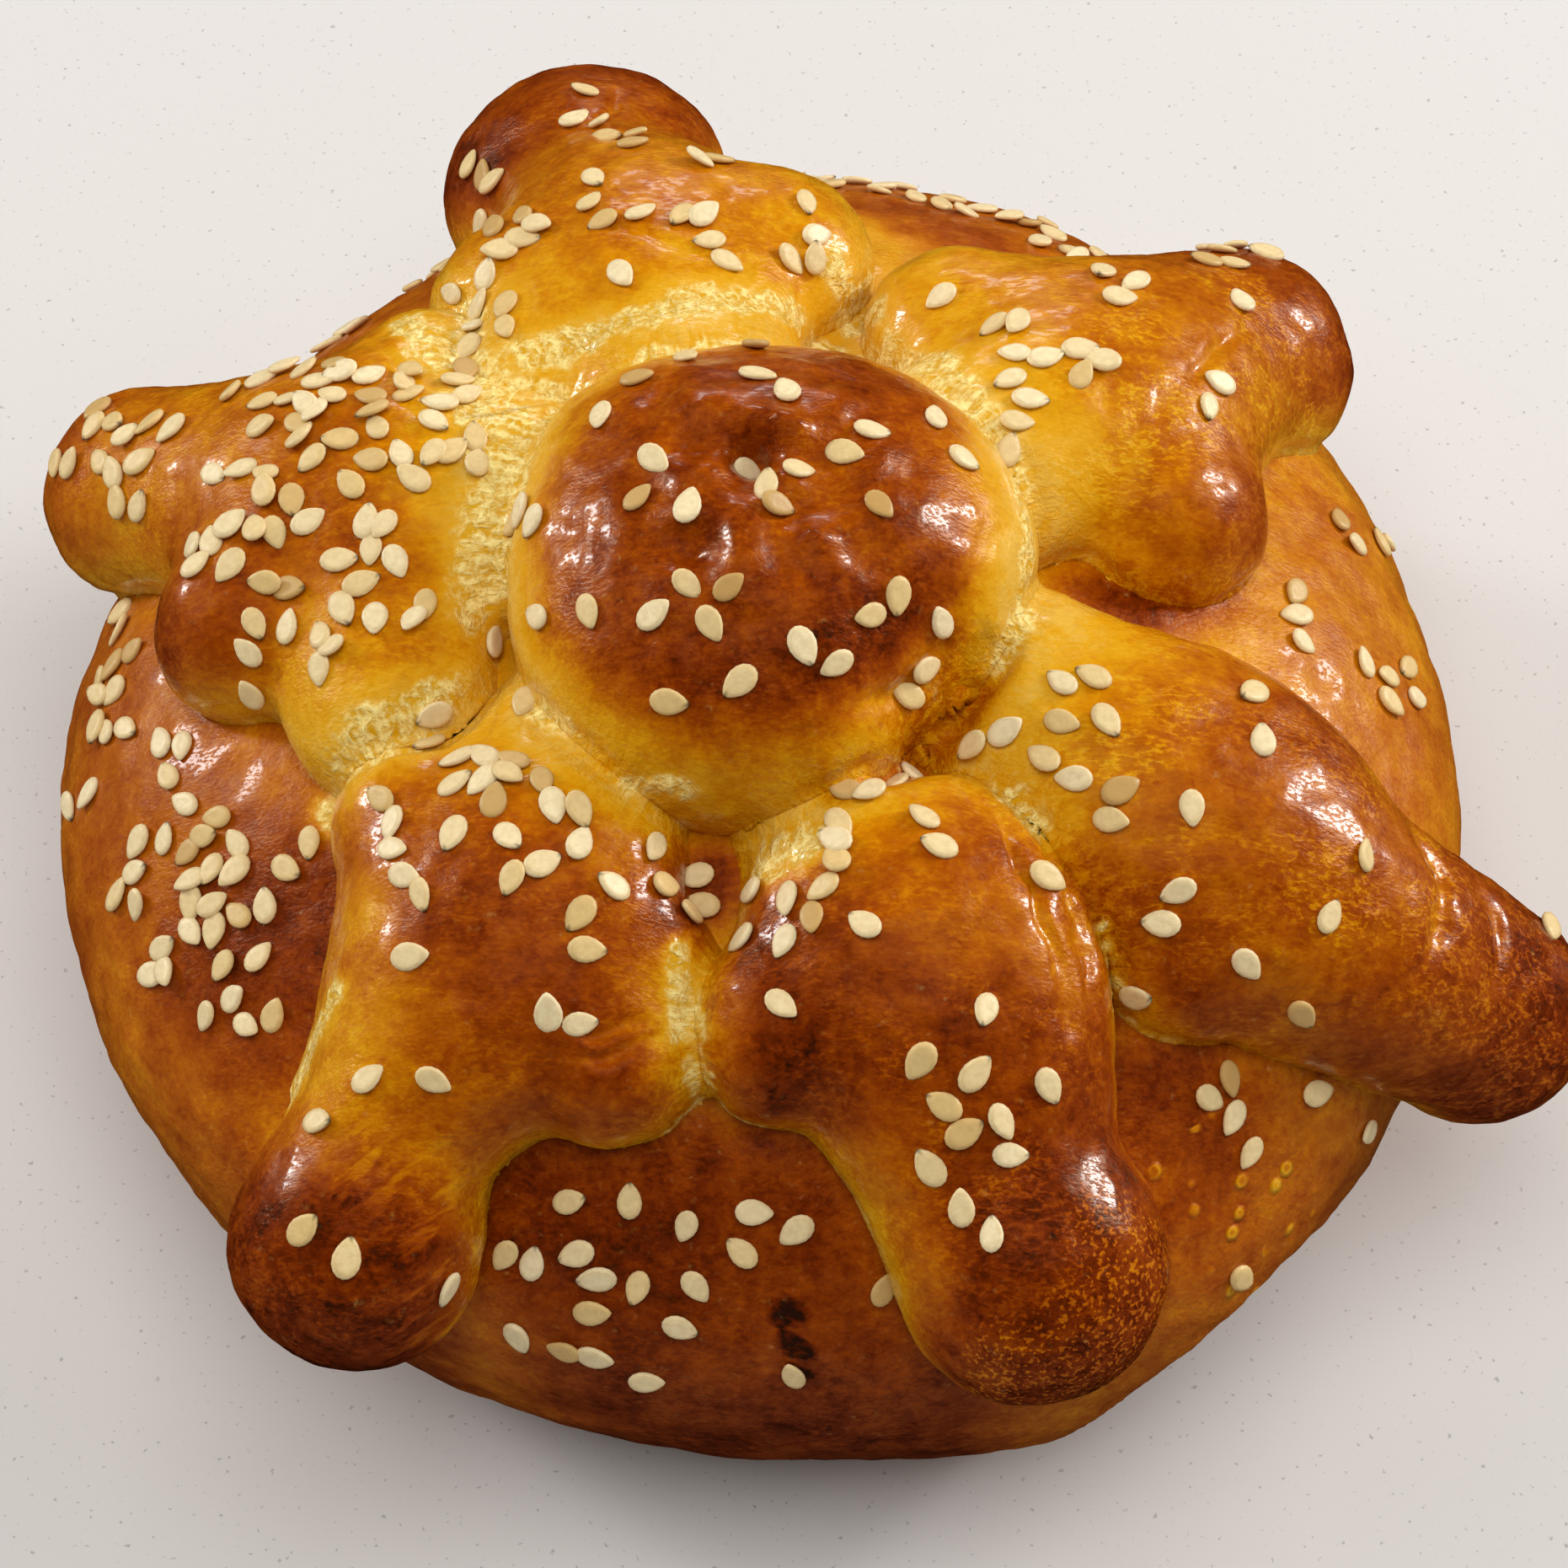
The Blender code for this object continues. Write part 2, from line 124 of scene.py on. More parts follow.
world = bpy.data.worlds.new("room")
world.use_nodes = True
world.node_tree.nodes["Background"].inputs["Color"].default_value = ROOM_COLOUR
world.node_tree.nodes["Background"].inputs["Strength"].default_value = ROOM_STRENGTH
world.cycles_visibility.glossy = False
bpy.context.scene.world = world
bpy.context.scene.view_settings.view_transform = "Standard"
print(len(SOFTBOXES), "lights")

# %% [markdown]
# Working with operators
#
# Blender's operators act on whatever is selected, and loading a model leaves it selected. These
# small helpers choose exactly one object, or a few, before an operator runs. A modifier is
# applied as soon as it is set, so that the mesh holds the finished shape.

# %% Selecting and applying
def choose(*objects):
    """Selects these objects alone and makes the first of them active."""
    bpy.ops.object.select_all(action="DESELECT")
    for item in objects:
        item.select_set(True)
    bpy.context.view_layer.objects.active = objects[0]


def apply_modifier(piece, kind, **settings):
    """Adds one modifier with these settings and applies it at once."""
    choose(piece)
    modifier = piece.modifiers.new(kind.lower(), kind)
    for name, value in settings.items():
        setattr(modifier, name, value)
    bpy.ops.object.modifier_apply(modifier=modifier.name)


def new_copy(piece, name):
    """A copy of the piece with its own mesh."""
    twin = bpy.data.objects.new(name, piece.data.copy())
    bpy.context.scene.collection.objects.link(twin)
    return twin


def vertex_rows(piece, what):
    """A value of all vertices, as rows of x, y and z."""
    flat = np.empty(len(piece.data.vertices) * 3, np.float32)
    piece.data.vertices.foreach_get(what, flat)
    return flat.reshape(-1, 3).astype(float)


def points_of(piece):
    """The places of all vertices."""
    return vertex_rows(piece, "co")


def normals_of(piece):
    """The outward directions of all vertices."""
    return vertex_rows(piece, "normal")


def count_triangles(piece):
    """How many triangles the piece's faces make."""
    return sum(len(face.vertices) - 2 for face in piece.data.polygons)


print("helpers ready")

# %% [markdown]
# The loaf
#
# Proofed dough is a flattened ball: a high crown, a rounder belly and a flat foot where it met the
# tray. It is never quite round, so its outline gets a few slow waves, its skin low lumps, and on
# one side it was pressed and folded. A cube that is subdivided and drawn onto a ball has
# evenly sized faces with no poles, which suits fine relief later; each point of that ball
# is then moved to its place on the loaf by a formula.

# %% Sizes of the loaf
LOAF_RADIUS = 56.0 * MM
LOAF_HEIGHT = 51.0 * MM
WIDEST_HEIGHT = 23.0 * MM
BASE_RADIUS = 37.0 * MM
CROWN = LOAF_HEIGHT - WIDEST_HEIGHT
BASE_STARTS = math.radians(66.0)
QUARTER_TURN = math.pi / 2

# Each wave of the outline: how many bulges it has, and its cosine and sine parts.
LOAF_WAVES = ((1, 0.021, 0.013), (2, -0.012, 0.0), (3, -0.017, -0.012))
LUMP_SIZE = 34.0 * MM
LUMP_DEPTH = 0.7 * MM

# The fold low on the front right, and the side that was pressed flat.
FOLD_AZIMUTH = math.radians(-65.0)
FOLD_HEIGHT = 9.0 * MM
FOLD_REACH = 3.0 * MM
FOLD_HALF_TURN = math.radians(13.0)
FOLD_HALF_HEIGHT = 9.0 * MM
PRESSED_WAY = Vector((0.64, -0.65, -0.41)).normalized()
PRESSED_REACH = 42.9 * MM


def plan_share(azimuth, waves):
    """How far out an uneven outline is at this azimuth, as a share of its radius."""
    return 1 + sum(
        cosine * math.cos(bulges * azimuth) + sine * math.sin(bulges * azimuth)
        for bulges, cosine, sine in waves
    )


def crust_normal(point):
    """The outward direction of the crown's ellipsoid at a point on or near it."""
    flat = point.xy / LOAF_RADIUS**2
    return Vector((flat.x, flat.y, (point.z - WIDEST_HEIGHT) / CROWN**2)).normalized()


def loaf_point(way):
    """Where a direction from the middle of a ball lies on the plain turned loaf."""
    if way.z >= 0:
        return Vector((way.x * LOAF_RADIUS, way.y * LOAF_RADIUS, WIDEST_HEIGHT + way.z * CROWN))
    plan = way.xy.normalized() if way.xy.length > 0 else Vector((1.0, 0.0))
    below = math.asin(min(1.0, -way.z))
    if below < BASE_STARTS:
        turn = below / BASE_STARTS * QUARTER_TURN
        radius = BASE_RADIUS + (LOAF_RADIUS - BASE_RADIUS) * math.cos(turn)
        return Vector((plan.x * radius, plan.y * radius, WIDEST_HEIGHT * (1 - math.sin(turn))))
    radius = BASE_RADIUS * (QUARTER_TURN - below) / (QUARTER_TURN - BASE_STARTS)
    return Vector((plan.x * radius, plan.y * radius, 0.0))


def proof(point):
    """Moves a point of the turned loaf to where the risen, uneven loaf has it."""
    off_table = min(1.0, point.z / WIDEST_HEIGHT)
    point += crust_normal(point) * noise.noise(point / LUMP_SIZE) * LUMP_DEPTH * off_table
    azimuth = math.atan2(point.y, point.x)
    point.xy *= plan_share(azimuth, LOAF_WAVES)
    around = (azimuth - FOLD_AZIMUTH) / FOLD_HALF_TURN
    above = (point.z - FOLD_HEIGHT) / FOLD_HALF_HEIGHT
    point.xy += point.xy.normalized() * FOLD_REACH * math.exp(-(around**2) - above**2) * off_table
    pressed = max(0.0, point.dot(PRESSED_WAY) - PRESSED_REACH)
    point.xy -= PRESSED_WAY.xy * pressed / PRESSED_WAY.xy.length_squared
    return point


print("the loaf's radius and height in mm:", round(LOAF_RADIUS / MM), round(LOAF_HEIGHT / MM))

# %% Shape the loaf
CUBE_HALVINGS = 7

bpy.ops.object.select_all(action="DESELECT")
bpy.ops.mesh.primitive_cube_add(size=2.0)
loaf = bpy.context.object
loaf.name = "loaf_crumb_and_crust"
apply_modifier(
    loaf, "SUBSURF", subdivision_type="SIMPLE", levels=CUBE_HALVINGS, render_levels=CUBE_HALVINGS
)
for vertex in loaf.data.vertices:
    x, y, z = (math.tan(value * math.pi / 4) for value in vertex.co)
    vertex.co = proof(loaf_point(Vector((x, y, z)).normalized()))
print("loaf:", count_triangles(loaf), "triangles")

# %% [markdown]
# The strips
#
# A strip is rolled under the fingers, so that it swells into knuckles between thin necks and ends
# in round tips. On the proofing loaf it sinks in a little and its knuckles spread into side
# lobes. Balls along a smooth line, large at a knuckle and small at a neck, give that shape. A
# voxel remesh melts them into one skin, smoothing takes the ball shapes out, and one
# subdivision gives faces of half a millimetre.

# %% Where each ball of dough lies
# Each ball: degrees round from +X, degrees down from the top, millimetres above the crust,
# half-width and half-thickness in millimetres, and how brown it baked, from 0 to 1.
ARMS = {
    "back": {
        "spine": (
            (107, 22, 1.0, 10.0, 7.6, 0.16),
            (105, 36, 1.0, 12.8, 9.6, 0.52),
            (106, 53, 1.0, 9.6, 8.8, 0.60),
            (106, 67, 2.0, 12.2, 10.8, 0.84),
        ),
        "lobes": (
            (121, 38, 0.5, 8.6, 8.0, 0.36), (90, 37, 0.8, 9.6, 8.2, 0.28), (133, 28, 0.3, 8.0, 6.6, 0.05),
        ),
    },
    "right_back": {
        "spine": (
            (34, 22, 1.0, 10.0, 7.6, 0.08),
            (37, 36, 1.0, 12.8, 9.4, 0.50),
            (39, 50, 1.0, 10.4, 8.8, 0.70),
            (38.5, 60, 1.3, 9.6, 9.4, 0.88),
        ),
        "lobes": ((17, 35, 0.5, 8.4, 7.8, 0.66), (58, 33, 0.2, 8.6, 7.4, 0.24)),
    },
    "right": {
        "spine": (
            (-27, 24, 0.5, 9.8, 7.4, 0.10),
            (-29, 40, 0.8, 13.6, 10.0, 0.72),
            (-28.5, 57, 1.7, 10.5, 9.1, 0.76),
            (-23, 82, 4.0, 8.8, 8.8, 0.90),
        ),
        "lobes": ((-40.5, 45.5, 0.5, 7.6, 7.4, 0.86),),
    },
    "front": {
        "spine": (
            (-70, 22, -1.0, 9.2, 6.6, 0.10),
            (-68, 35, 0.8, 13.0, 10.0, 0.82),
            (-69, 53, 0.8, 9.6, 8.6, 0.80),
            (-68, 64.5, 2.0, 10.2, 9.8, 1.0),
        ),
        "lobes": ((-87, 38, 0.8, 7.0, 7.4, 1.05),),
    },
    "left_front": {
        "spine": (
            (-130, 22, -1.0, 9.6, 6.6, 0.10),
            (-123, 35, 0.5, 12.4, 9.4, 0.70),
            (-123, 54, 0.6, 7.8, 8.0, 0.40),
            (-122, 68, 2.5, 9.4, 9.2, 0.88),
        ),
        "lobes": (
            (-106, 41, 0.2, 7.2, 7.0, 0.66), (-142, 33, 0.2, 7.0, 7.0, 0.36),
            (-97, 38, -0.4, 5.0, 4.6, 0.24), (-131, 57, -0.8, 3.4, 3.8, 0.18),
        ),
    },
    "left": {
        "spine": (
            (157, 24, 0.0, 11.0, 7.8, 0.12),
            (160, 35, 0.5, 12.8, 9.4, 0.54),
            (159, 52, 0.8, 9.6, 8.2, 0.50),
            (158, 66, 1.6, 8.8, 8.6, 0.66),
        ),
        "lobes": (
            (180, 42, 1.2, 7.6, 7.8, 0.92), (-163, 30, 0.0, 8.2, 6.8, 0.34), (140, 36, 0.4, 7.6, 7.0, 0.34),
        ),
    },
}

# The strips, lowest first: two arms that face each other, and the ball where the strip crosses.
STRIPS = {
    "strip_lower": ("right_back", "left_front", (0, 0, -1.0, 9.5, 6.0, 0.1)),
    "strip_middle": ("left", "right", (0, 0, 1.5, 9.5, 6.0, 0.1)),
    "strip_upper": ("back", "front", (0, 0, 4.0, 9.5, 5.5, 0.1)),
}
print(len(ARMS), "arms in", len(STRIPS), "strips")

# %% Lines of balls
BALL_SPACING = 1.6 * MM


def crust_point(azimuth, tilt, rise=0.0):
    """The point of the loaf's crown at this azimuth and tilt (degrees), raised off the crust."""
    azimuth, tilt = math.radians(azimuth), math.radians(tilt)
    outward = Vector((math.sin(tilt) / LOAF_RADIUS, math.cos(tilt) / CROWN)).normalized()
    out = LOAF_RADIUS * math.sin(tilt) + outward.x * rise
    up = CROWN * math.cos(tilt) + outward.y * rise
    return Vector((out * math.cos(azimuth), out * math.sin(azimuth), WIDEST_HEIGHT + up))


def ball_place(ball):
    """A ball's middle, half-width, half-thickness and browning, in one row."""
    azimuth, tilt, rise, width, thick, bake = ball
    return Vector((*crust_point(azimuth, tilt, rise * MM), width * MM, thick * MM, bake))


def curve_through(before, start, end, after, share):
    """The smooth curve from start to end that also heeds its neighbours."""
    return (
        start
        + (end - before) * (share / 2)
        + (before * 2 - start * 5 + end * 4 - after) * (share**2 / 2)
        + (start * 3 - before - end * 3 + after) * (share**3 / 2)
    )


def rolled_balls(stations):
    """Rows of balls close together along a smooth line through the stations."""
    rows = [ball_place(ball) for ball in stations]
    first, last = 2 * rows[0] - rows[1], 2 * rows[-1] - rows[-2]
    for row, end in ((first, rows[0]), (last, rows[-1])):
        row[3], row[4], row[5] = end[3], end[4], end[5]
    rows = [first, *rows, last]
    balls = []
    for start in range(len(stations) - 1):
        gap = (Vector(rows[start + 2][:3]) - Vector(rows[start + 1][:3])).length
        steps = max(2, round(gap / BALL_SPACING))
        for step in range(steps + 1):
            balls.append(curve_through(*rows[start : start + 4], step / steps))
    return balls


def strip_lines(name):
    """The lines of balls that a strip is rolled from: its length, then each of its lobes."""
    first, second, crossing = STRIPS[name]
    lines = [(*reversed(ARMS[first]["spine"]), crossing, *ARMS[second]["spine"])]
    for arm in (ARMS[first], ARMS[second]):
        lines += [(arm["spine"][1], lobe) for lobe in arm["lobes"]]
    return lines


print(sum(len(rolled_balls(line)) for name in STRIPS for line in strip_lines(name)), "balls in the strips")

# %% Roll the strips
DOUGH_VOXEL = 0.8 * MM
SMOOTHING = 0.5
STRIP_SMOOTHING_PASSES = 14
KNOB_SMOOTHING_PASSES = 4

bpy.ops.object.select_all(action="DESELECT")
bpy.ops.mesh.primitive_ico_sphere_add(subdivisions=3, radius=1.0)
ball_pattern = bpy.context.object


def add_ball(row):
    """Copies the pattern ball to its place, flattened along the crust's normal."""
    middle = Vector(row[:3])
    turn = crust_normal(middle).to_track_quat("Z", "Y").to_matrix().to_4x4()
    ball = new_copy(ball_pattern, "ball")
    ball.data.transform(Matrix.Translation(middle) @ turn @ Matrix.Diagonal((row[3], row[3], row[4], 1)))
    return ball


def knead(piece, passes):
    """Melts overlapping balls into one skin, smoothed this many times."""
    apply_modifier(piece, "REMESH", mode="VOXEL", voxel_size=DOUGH_VOXEL)
    apply_modifier(piece, "SMOOTH", factor=SMOOTHING, iterations=passes)
    apply_modifier(piece, "SUBSURF", levels=1, render_levels=1)


# Where the strips sank under the knob: millimetres to the right, to the back, reach and depth.
SUNK_PLACES = (
    (17.2, -8.6, 1.6, 1.6), (16, -11, 1.7, 3.2), (14.2, -13.4, 1.7, 3.6), (12, -15.6, 1.7, 3.6),
    (9.6, -17.6, 1.7, 2.6), (-3, -24.5, 2, 2.2),
)
SUNK_ABOVE = 46.0 * MM


def sunk(point):
    """How far a point of the strips sinks beside the knob, in millimetres."""
    return sum(
        depth * math.exp(-(((point.xy / MM - Vector((right, back))).length / reach) ** 2))
        for right, back, reach, depth in SUNK_PLACES
    )


def roll_strip(name):
    """One strip: its balls joined, kneaded, and sunk beside the knob."""
    balls = [add_ball(row) for line in strip_lines(name) for row in rolled_balls(line)]
    choose(*balls)
    bpy.ops.object.join()
    strip = bpy.context.object
    strip.name = name + "_dough"
    knead(strip, STRIP_SMOOTHING_PASSES)
    for vertex in strip.data.vertices:
        if vertex.co.z > SUNK_ABOVE:
            vertex.co.z -= sunk(vertex.co) * MM
    return strip


strips = {name: roll_strip(name) for name in STRIPS}
for name, strip in strips.items():
    print(name, count_triangles(strip), "triangles")

# %% [markdown]
# The knob
#
# The knob is a ball of dough that flattened as it rose, with finger dents in its top. It is
# a ball primitive, squeezed and dented by a formula and then kneaded like the strips.

# %% Shape the knob
KNOB_CENTRE = Vector((0.8, -1.6, 53.6)) * MM
KNOB_HALF_SIZE = Vector((19.5, 19.6, 13.8)) * MM

# The notch and the bulge of its outline: azimuth, half its turn, and share of the radius.
KNOB_BULGES = ((-46.0, 17.0, -0.10), (138.0, 26.0, 0.08))
KNOB_WAVES = ((2, 0.0, 0.025), (3, 0.02, 0.015))

# Each dent or, with a negative depth, swelling: its place from the knob's middle, how far it
# reaches, and its depth, in millimetres.
KNOB_DENTS = (
    (-5, 2.8, 1.8, 1.6), (-1.2, 2.6, 1.6, 4.6), (1.8, 1.2, 1.8, 1.6), (-4.6, 6.6, 2.2, -0.8),
    (3.6, 5.6, 2.2, -0.8), (-4.8, -5.4, 1.6, 1.7), (1.7, -2.9, 1.8, 1.2), (-1.6, -1.6, 1.8, -0.6),
    (13.5, -9, 3, 1.2), (9.5, -13.5, 2.6, 1),
)

# The rumpled part of its top: where it is, its reach, height and size of the rumples.
KNOB_RUMPLED = Vector((-1.0, 1.0))
KNOB_RUMPLE_REACH = 14.0
KNOB_RUMPLE_HEIGHT = 3.2 * MM
KNOB_RUMPLE_SIZE = 3.4 * MM

bpy.ops.object.select_all(action="DESELECT")
bpy.ops.mesh.primitive_ico_sphere_add(subdivisions=6, radius=1.0)
knob = bpy.context.object
knob.name = "knob_dough"
for vertex in knob.data.vertices:
    flat = vertex.co.xy * KNOB_HALF_SIZE.xy
    azimuth = math.atan2(flat.y, flat.x)
    flat *= plan_share(azimuth, KNOB_WAVES) + sum(
        share * math.exp(-(((math.degrees(azimuth) - middle) / half_turn) ** 2))
        for middle, half_turn, share in KNOB_BULGES
    )
    height = vertex.co.z * KNOB_HALF_SIZE.z
    if height > 0:
        for right, back, reach, depth in KNOB_DENTS:
            away = (flat / MM - Vector((right, back))).length / reach
            height -= depth * MM * math.exp(-(away**2))
    if height > 0:
        rumpled = max(0.0, 1 - (flat / MM - KNOB_RUMPLED).length / KNOB_RUMPLE_REACH)
        height += KNOB_RUMPLE_HEIGHT * rumpled * noise.noise(Vector((flat.x, flat.y, 0)) / KNOB_RUMPLE_SIZE)
    vertex.co = KNOB_CENTRE + Vector((flat.x, flat.y, height))
knead(knob, KNOB_SMOOTHING_PASSES)
bpy.data.objects.remove(ball_pattern)
print("knob:", count_triangles(knob), "triangles")

# %% [markdown]
# Laying the pieces on each other
#
# Each piece rests on the ones below it and takes their shape underneath. A Boolean cuts it back to
# a copy of what lies below, shrunk by a third of a millimetre, so that the edge tucks
# just under the skin of the lower piece and no gap shows.

# %% Cut each piece to what it rests on
TUCK = 0.35 * MM


def tucked_copy(piece):
    """A copy drawn in by the depth of a tuck, to cut the pieces that rest on this one."""
    cutter = new_copy(piece, piece.name + "_cutter")
    apply_modifier(cutter, "DISPLACE", strength=-TUCK, mid_level=0.0)
    return cutter


below = [tucked_copy(loaf)]
for piece in (*strips.values(), knob):
    next_cutter = tucked_copy(piece)
    for cutter in below:
        apply_modifier(piece, "BOOLEAN", operation="DIFFERENCE", solver="MANIFOLD", object=cutter)
    below.append(next_cutter)
    print(piece.name, count_triangles(piece), "triangles after the cut")
for cutter in below:
    bpy.data.objects.remove(cutter)
dough_pieces = {"loaf": loaf, **strips, "knob": knob}

# %% [markdown]
# What the oven did to each spot, and painted shade
#
# A crust's colour follows the heat: tips, knuckles and tops that stand out turn dark, necks stay
# golden, and the creases between two pieces stay butter yellow, because they opened last. So each
# point of the dough gets a browning value, blended from the balls it was rolled from,
# lowered on flanks and near a seam, and broken up by slow noise. The same value carries painted
# shade, darker in clefts, dents and gaps where the pieces meet, and a little painted highlight. It
# is stored on the mesh, so that the materials can read it and it stays in place from every side.

# %% Measure the seams
SEAM_REACH = 6.0 * MM


def surface_tree(piece):
    """A search tree over the piece's faces."""
    shape = bmesh.new()
    shape.from_mesh(piece.data)
    tree = BVHTree.FromBMesh(shape)
    shape.free()
    return tree


dough_trees = {name: surface_tree(piece) for name, piece in dough_pieces.items()}


def seam_distance(name):
    """How far each point of a piece is from the nearest other piece, up to the seam's reach."""
    nearest = np.full(len(dough_pieces[name].data.vertices), SEAM_REACH)
    others = [tree for other, tree in dough_trees.items() if other != name]
    for index, vertex in enumerate(dough_pieces[name].data.vertices):
        for tree in others:
            distance = tree.find_nearest(vertex.co, nearest[index])[3]
            if distance is not None:
                nearest[index] = distance
    return nearest


seams = {name: seam_distance(name) for name in dough_pieces}
for name, distances in seams.items():
    print(name, "points near a seam:", int((distances < SEAM_REACH).sum()), "of", len(distances))

# %% Find the place on the seam nearest to each point
SEAM_TOUCH = 0.45 * MM
FEET_AVERAGED = 6


def seam_line():
    """A search tree of the points where a piece touches another."""
    touching = [points_of(piece)[seams[name] < SEAM_TOUCH] for name, piece in dough_pieces.items()]
    touching = np.concatenate(touching)
    tree = KDTree(len(touching))
    for index, point in enumerate(touching):
        tree.insert(point, index)
    tree.balance()
    return tree


def seam_feet(name, tree):
    """For each point the place on the seam below it, or the point itself far from any seam."""
    points = points_of(dough_pieces[name])
    feet = points.copy()
    for index in np.flatnonzero(seams[name] < SEAM_REACH):
        total, weights = Vector(), 0.0
        for place, _, distance in tree.find_n(points[index], FEET_AVERAGED):
            weight = 1 / (distance**2 + SEAM_TOUCH**2)
            total += place * weight
            weights += weight
        feet[index] = total / weights
    return feet


touching_tree = seam_line()
feet = {name: seam_feet(name, touching_tree) for name in dough_pieces}
print("seam places found for", ", ".join(feet))

# %% Where the crust browned more or less, with painted shade and highlight
# How brown the loaf is round a few places: degrees round, degrees down from the top, browning.
LOAF_BAKES = (
    (-165, 62, 0.66), (-145, 55, 0.80), (-140, 75, 0.62), (-105, 62, 0.88), (-86, 68, 0.80),
    (-85, 82, 0.84), (-52, 62, 0.72), (-60, 85, 0.60), (-45, 62, 0.56), (-10, 60, 0.52),
    (15, 70, 0.50), (60, 62, 0.60), (110, 75, 0.66), (140, 62, 0.62), (180, 80, 0.60),
    (-110, 30, 0.20), (80, 30, 0.20), (0, 25, 0.20),
)

# Each burnt place on the loaf: millimetres to the right, to the back and up, and its reach.
BURNS = ((2.2, -51, 34, 2.4), (2.8, -52.3, 31.8, 2.4), (3.2, -53.4, 29.6, 2.0))

# Where one piece is browner or paler than its shape tells: partly real browning, partly painted
# shade in clefts, dents and gaps between the pieces and under the strips, and painted highlight on
# a few tips. Millimetres to the right and to the back, reach, and how much browner.
BROWNING_AND_PAINTED_LIGHT = {
    "loaf": (
        (-36, -8, 6, -0.10), (-50, -24, 9, -0.08), (-35, -26, 7, 0.06), (-18, -56, 6, -0.24),
        (-21, -51, 4, -0.20), (32, -34, 6, 0.18), (24, -38, 4, 0.14), (30, 2, 6, 0.26),
        (32, 4, 4, 0.46), (36, 3, 3, 0.16), (-3.5, -24, 3.5, 0.75), (24, 1.5, 3.5, 0.45),
        (28, 0, 3, 0.25), (14, 40, 8, 0.10), (-30, -40, 5, -0.14),
    ),
    "knob": (
        (-0.6, 1.0, 2.4, 0.14), (-4.2, -6.6, 1.6, 0.04), (2, -19, 6, 0.18), (-7, -18, 5, 0.14),
        (9, -14, 5, 0.12), (18.5, 5, 4, -0.45), (19, 0, 4, -0.40), (18, -5, 4, -0.30),
        (-17, 1, 4, -0.26), (-17.5, -5, 4, -0.26), (-15, 8, 4, -0.28), (-12, 13, 4, -0.20),
        (-7, 16, 3, -0.14), (14, -10.5, 2.5, 0.3), (11, -14, 2.5, 0.3),
    ),
    "strip_upper": (
        (-9, 28, 6, 0.12), (8, -24, 6, -0.12), (14, -31, 6, -0.14), (21, -33, 5, -0.18),
        (-2, -38, 5, 0.04), (20, -50, 5, 0.12), (10, -52, 4, -0.32), (8, -46, 4, -0.20),
        (16, -58, 5, -0.16), (27, -52, 5, -0.16), (-3.2, -22.5, 2.2, 0.35), (14, -13, 2.5, 0.5),
        (11, -16, 2.5, 0.5), (8.5, -18, 2.2, 0.4), (6, -20, 1.8, 0.3), (-24, 47, 5, 0.15),
        (-13, 16, 3, 0.20), (24, -28, 4, -0.10),
    ),
    "strip_middle": (
        (33, -17, 6, -0.04), (31, -24, 5, 0.02), (49, -18, 6, -0.14), (-31, 5, 6, 0.16),
        (-40, -3, 6, 0.06), (-52, 13, 6, -0.06), (46, -12, 4, -0.10), (-26, -5, 4, 0.08),
        (-41, -9, 3.5, -0.34), (-35, -12, 3.5, -0.26), (-4, -28, 2.6, 0.4), (-3.2, -23, 2.8, 0.4),
        (16, -11, 2.5, 0.5), (13, -14, 2.5, 0.5), (36, -27, 7, -0.12), (45, -27, 6, -0.08),
    ),
    "strip_lower": (
        (-20, -30, 6, 0.12), (-9, -38, 5, 0.14), (-15, -34, 5, 0.06), (-27, -48, 6, 0.12),
        (-29, -53, 6, 0.06), (-28, -28, 3, -0.24), (-27, -36, 5, -0.24), (44, 26, 5, -0.08),
        (28, 17, 6, 0.08), (37, 8, 4, 0.10), (-20, -42, 4, 0.08), (-4, -28, 2.6, 0.45),
        (-3.2, -23, 2.8, 0.4),
    ),
}

# Seams that lie in shade: there the pale seam colour and the pale fringe are left out, so they stay
# brown as painted shade. Millimetres to the right and to the back, and reach.
SHADED_SEAMS = (
    (33, -29, 5), (39, -32, 5), (45, -35, 5), (51, -36, 5), (29, 2, 6), (23.5, 2, 3), (36, 4, 5),
    (22, -42, 4), (-3.5, -25, 3), (24, -28, 5), (15, -12, 2.5), (12, -15, 2.5), (9, -18, 2.5),
    (6, -20, 2),
)
print(sum(len(places) for places in BROWNING_AND_PAINTED_LIGHT.values()), "places browner or paler than their shape tells")

# %% Helpers that fade, waver and store
def smooth_step(low, high, values):
    """From 0 at the low value to 1 at the high one, without a kink."""
    share = np.clip((values - low) / (high - low), 0, 1)
    return share * share * (3 - 2 * share)


def slow_noise(points, size, seed):
    """Smooth noise of this size at each point, from about -1 to 1."""
    offset = Vector((seed * 7.1, seed * 3.7, seed * 5.3))
    return np.array([noise.noise(Vector(point) / size + offset) for point in points])


def store(piece, name, values):
    """Keeps one value per point on the mesh, for the materials."""
    layer = piece.data.attributes.get(name) or piece.data.attributes.new(name, "FLOAT", "POINT")
    layer.data.foreach_set("value", np.asarray(values, np.float32))


def store_places(piece, name, places):
    """Keeps one place per point on the mesh."""
    layer = piece.data.attributes.new(name, "FLOAT_VECTOR", "POINT")
    layer.data.foreach_set("vector", np.asarray(places, np.float32).ravel())


print("helpers ready")

# %% Browning of a strip, the loaf and the knob
FLANK_BROWNING = 0.72
FLANK_FACING = (-0.1, 0.7)
BLEND_POWER = 8
BLEND_FLOOR = 0.001
PLACE_EDGE = (0.5, 1.4)
KNOB_PALE_HEIGHT = 54.6 * MM
KNOB_BROWN_HEIGHT = 61.8 * MM
KNOB_HEAT_LEAN = np.array([-0.02, 0.14, 1.0])
KNOB_BAKE = (0.22, 0.76)
BURN_SEARCH = 2
BURN_RAGGEDNESS = 0.4
BURN_EDGE = (0.35, 1.0)


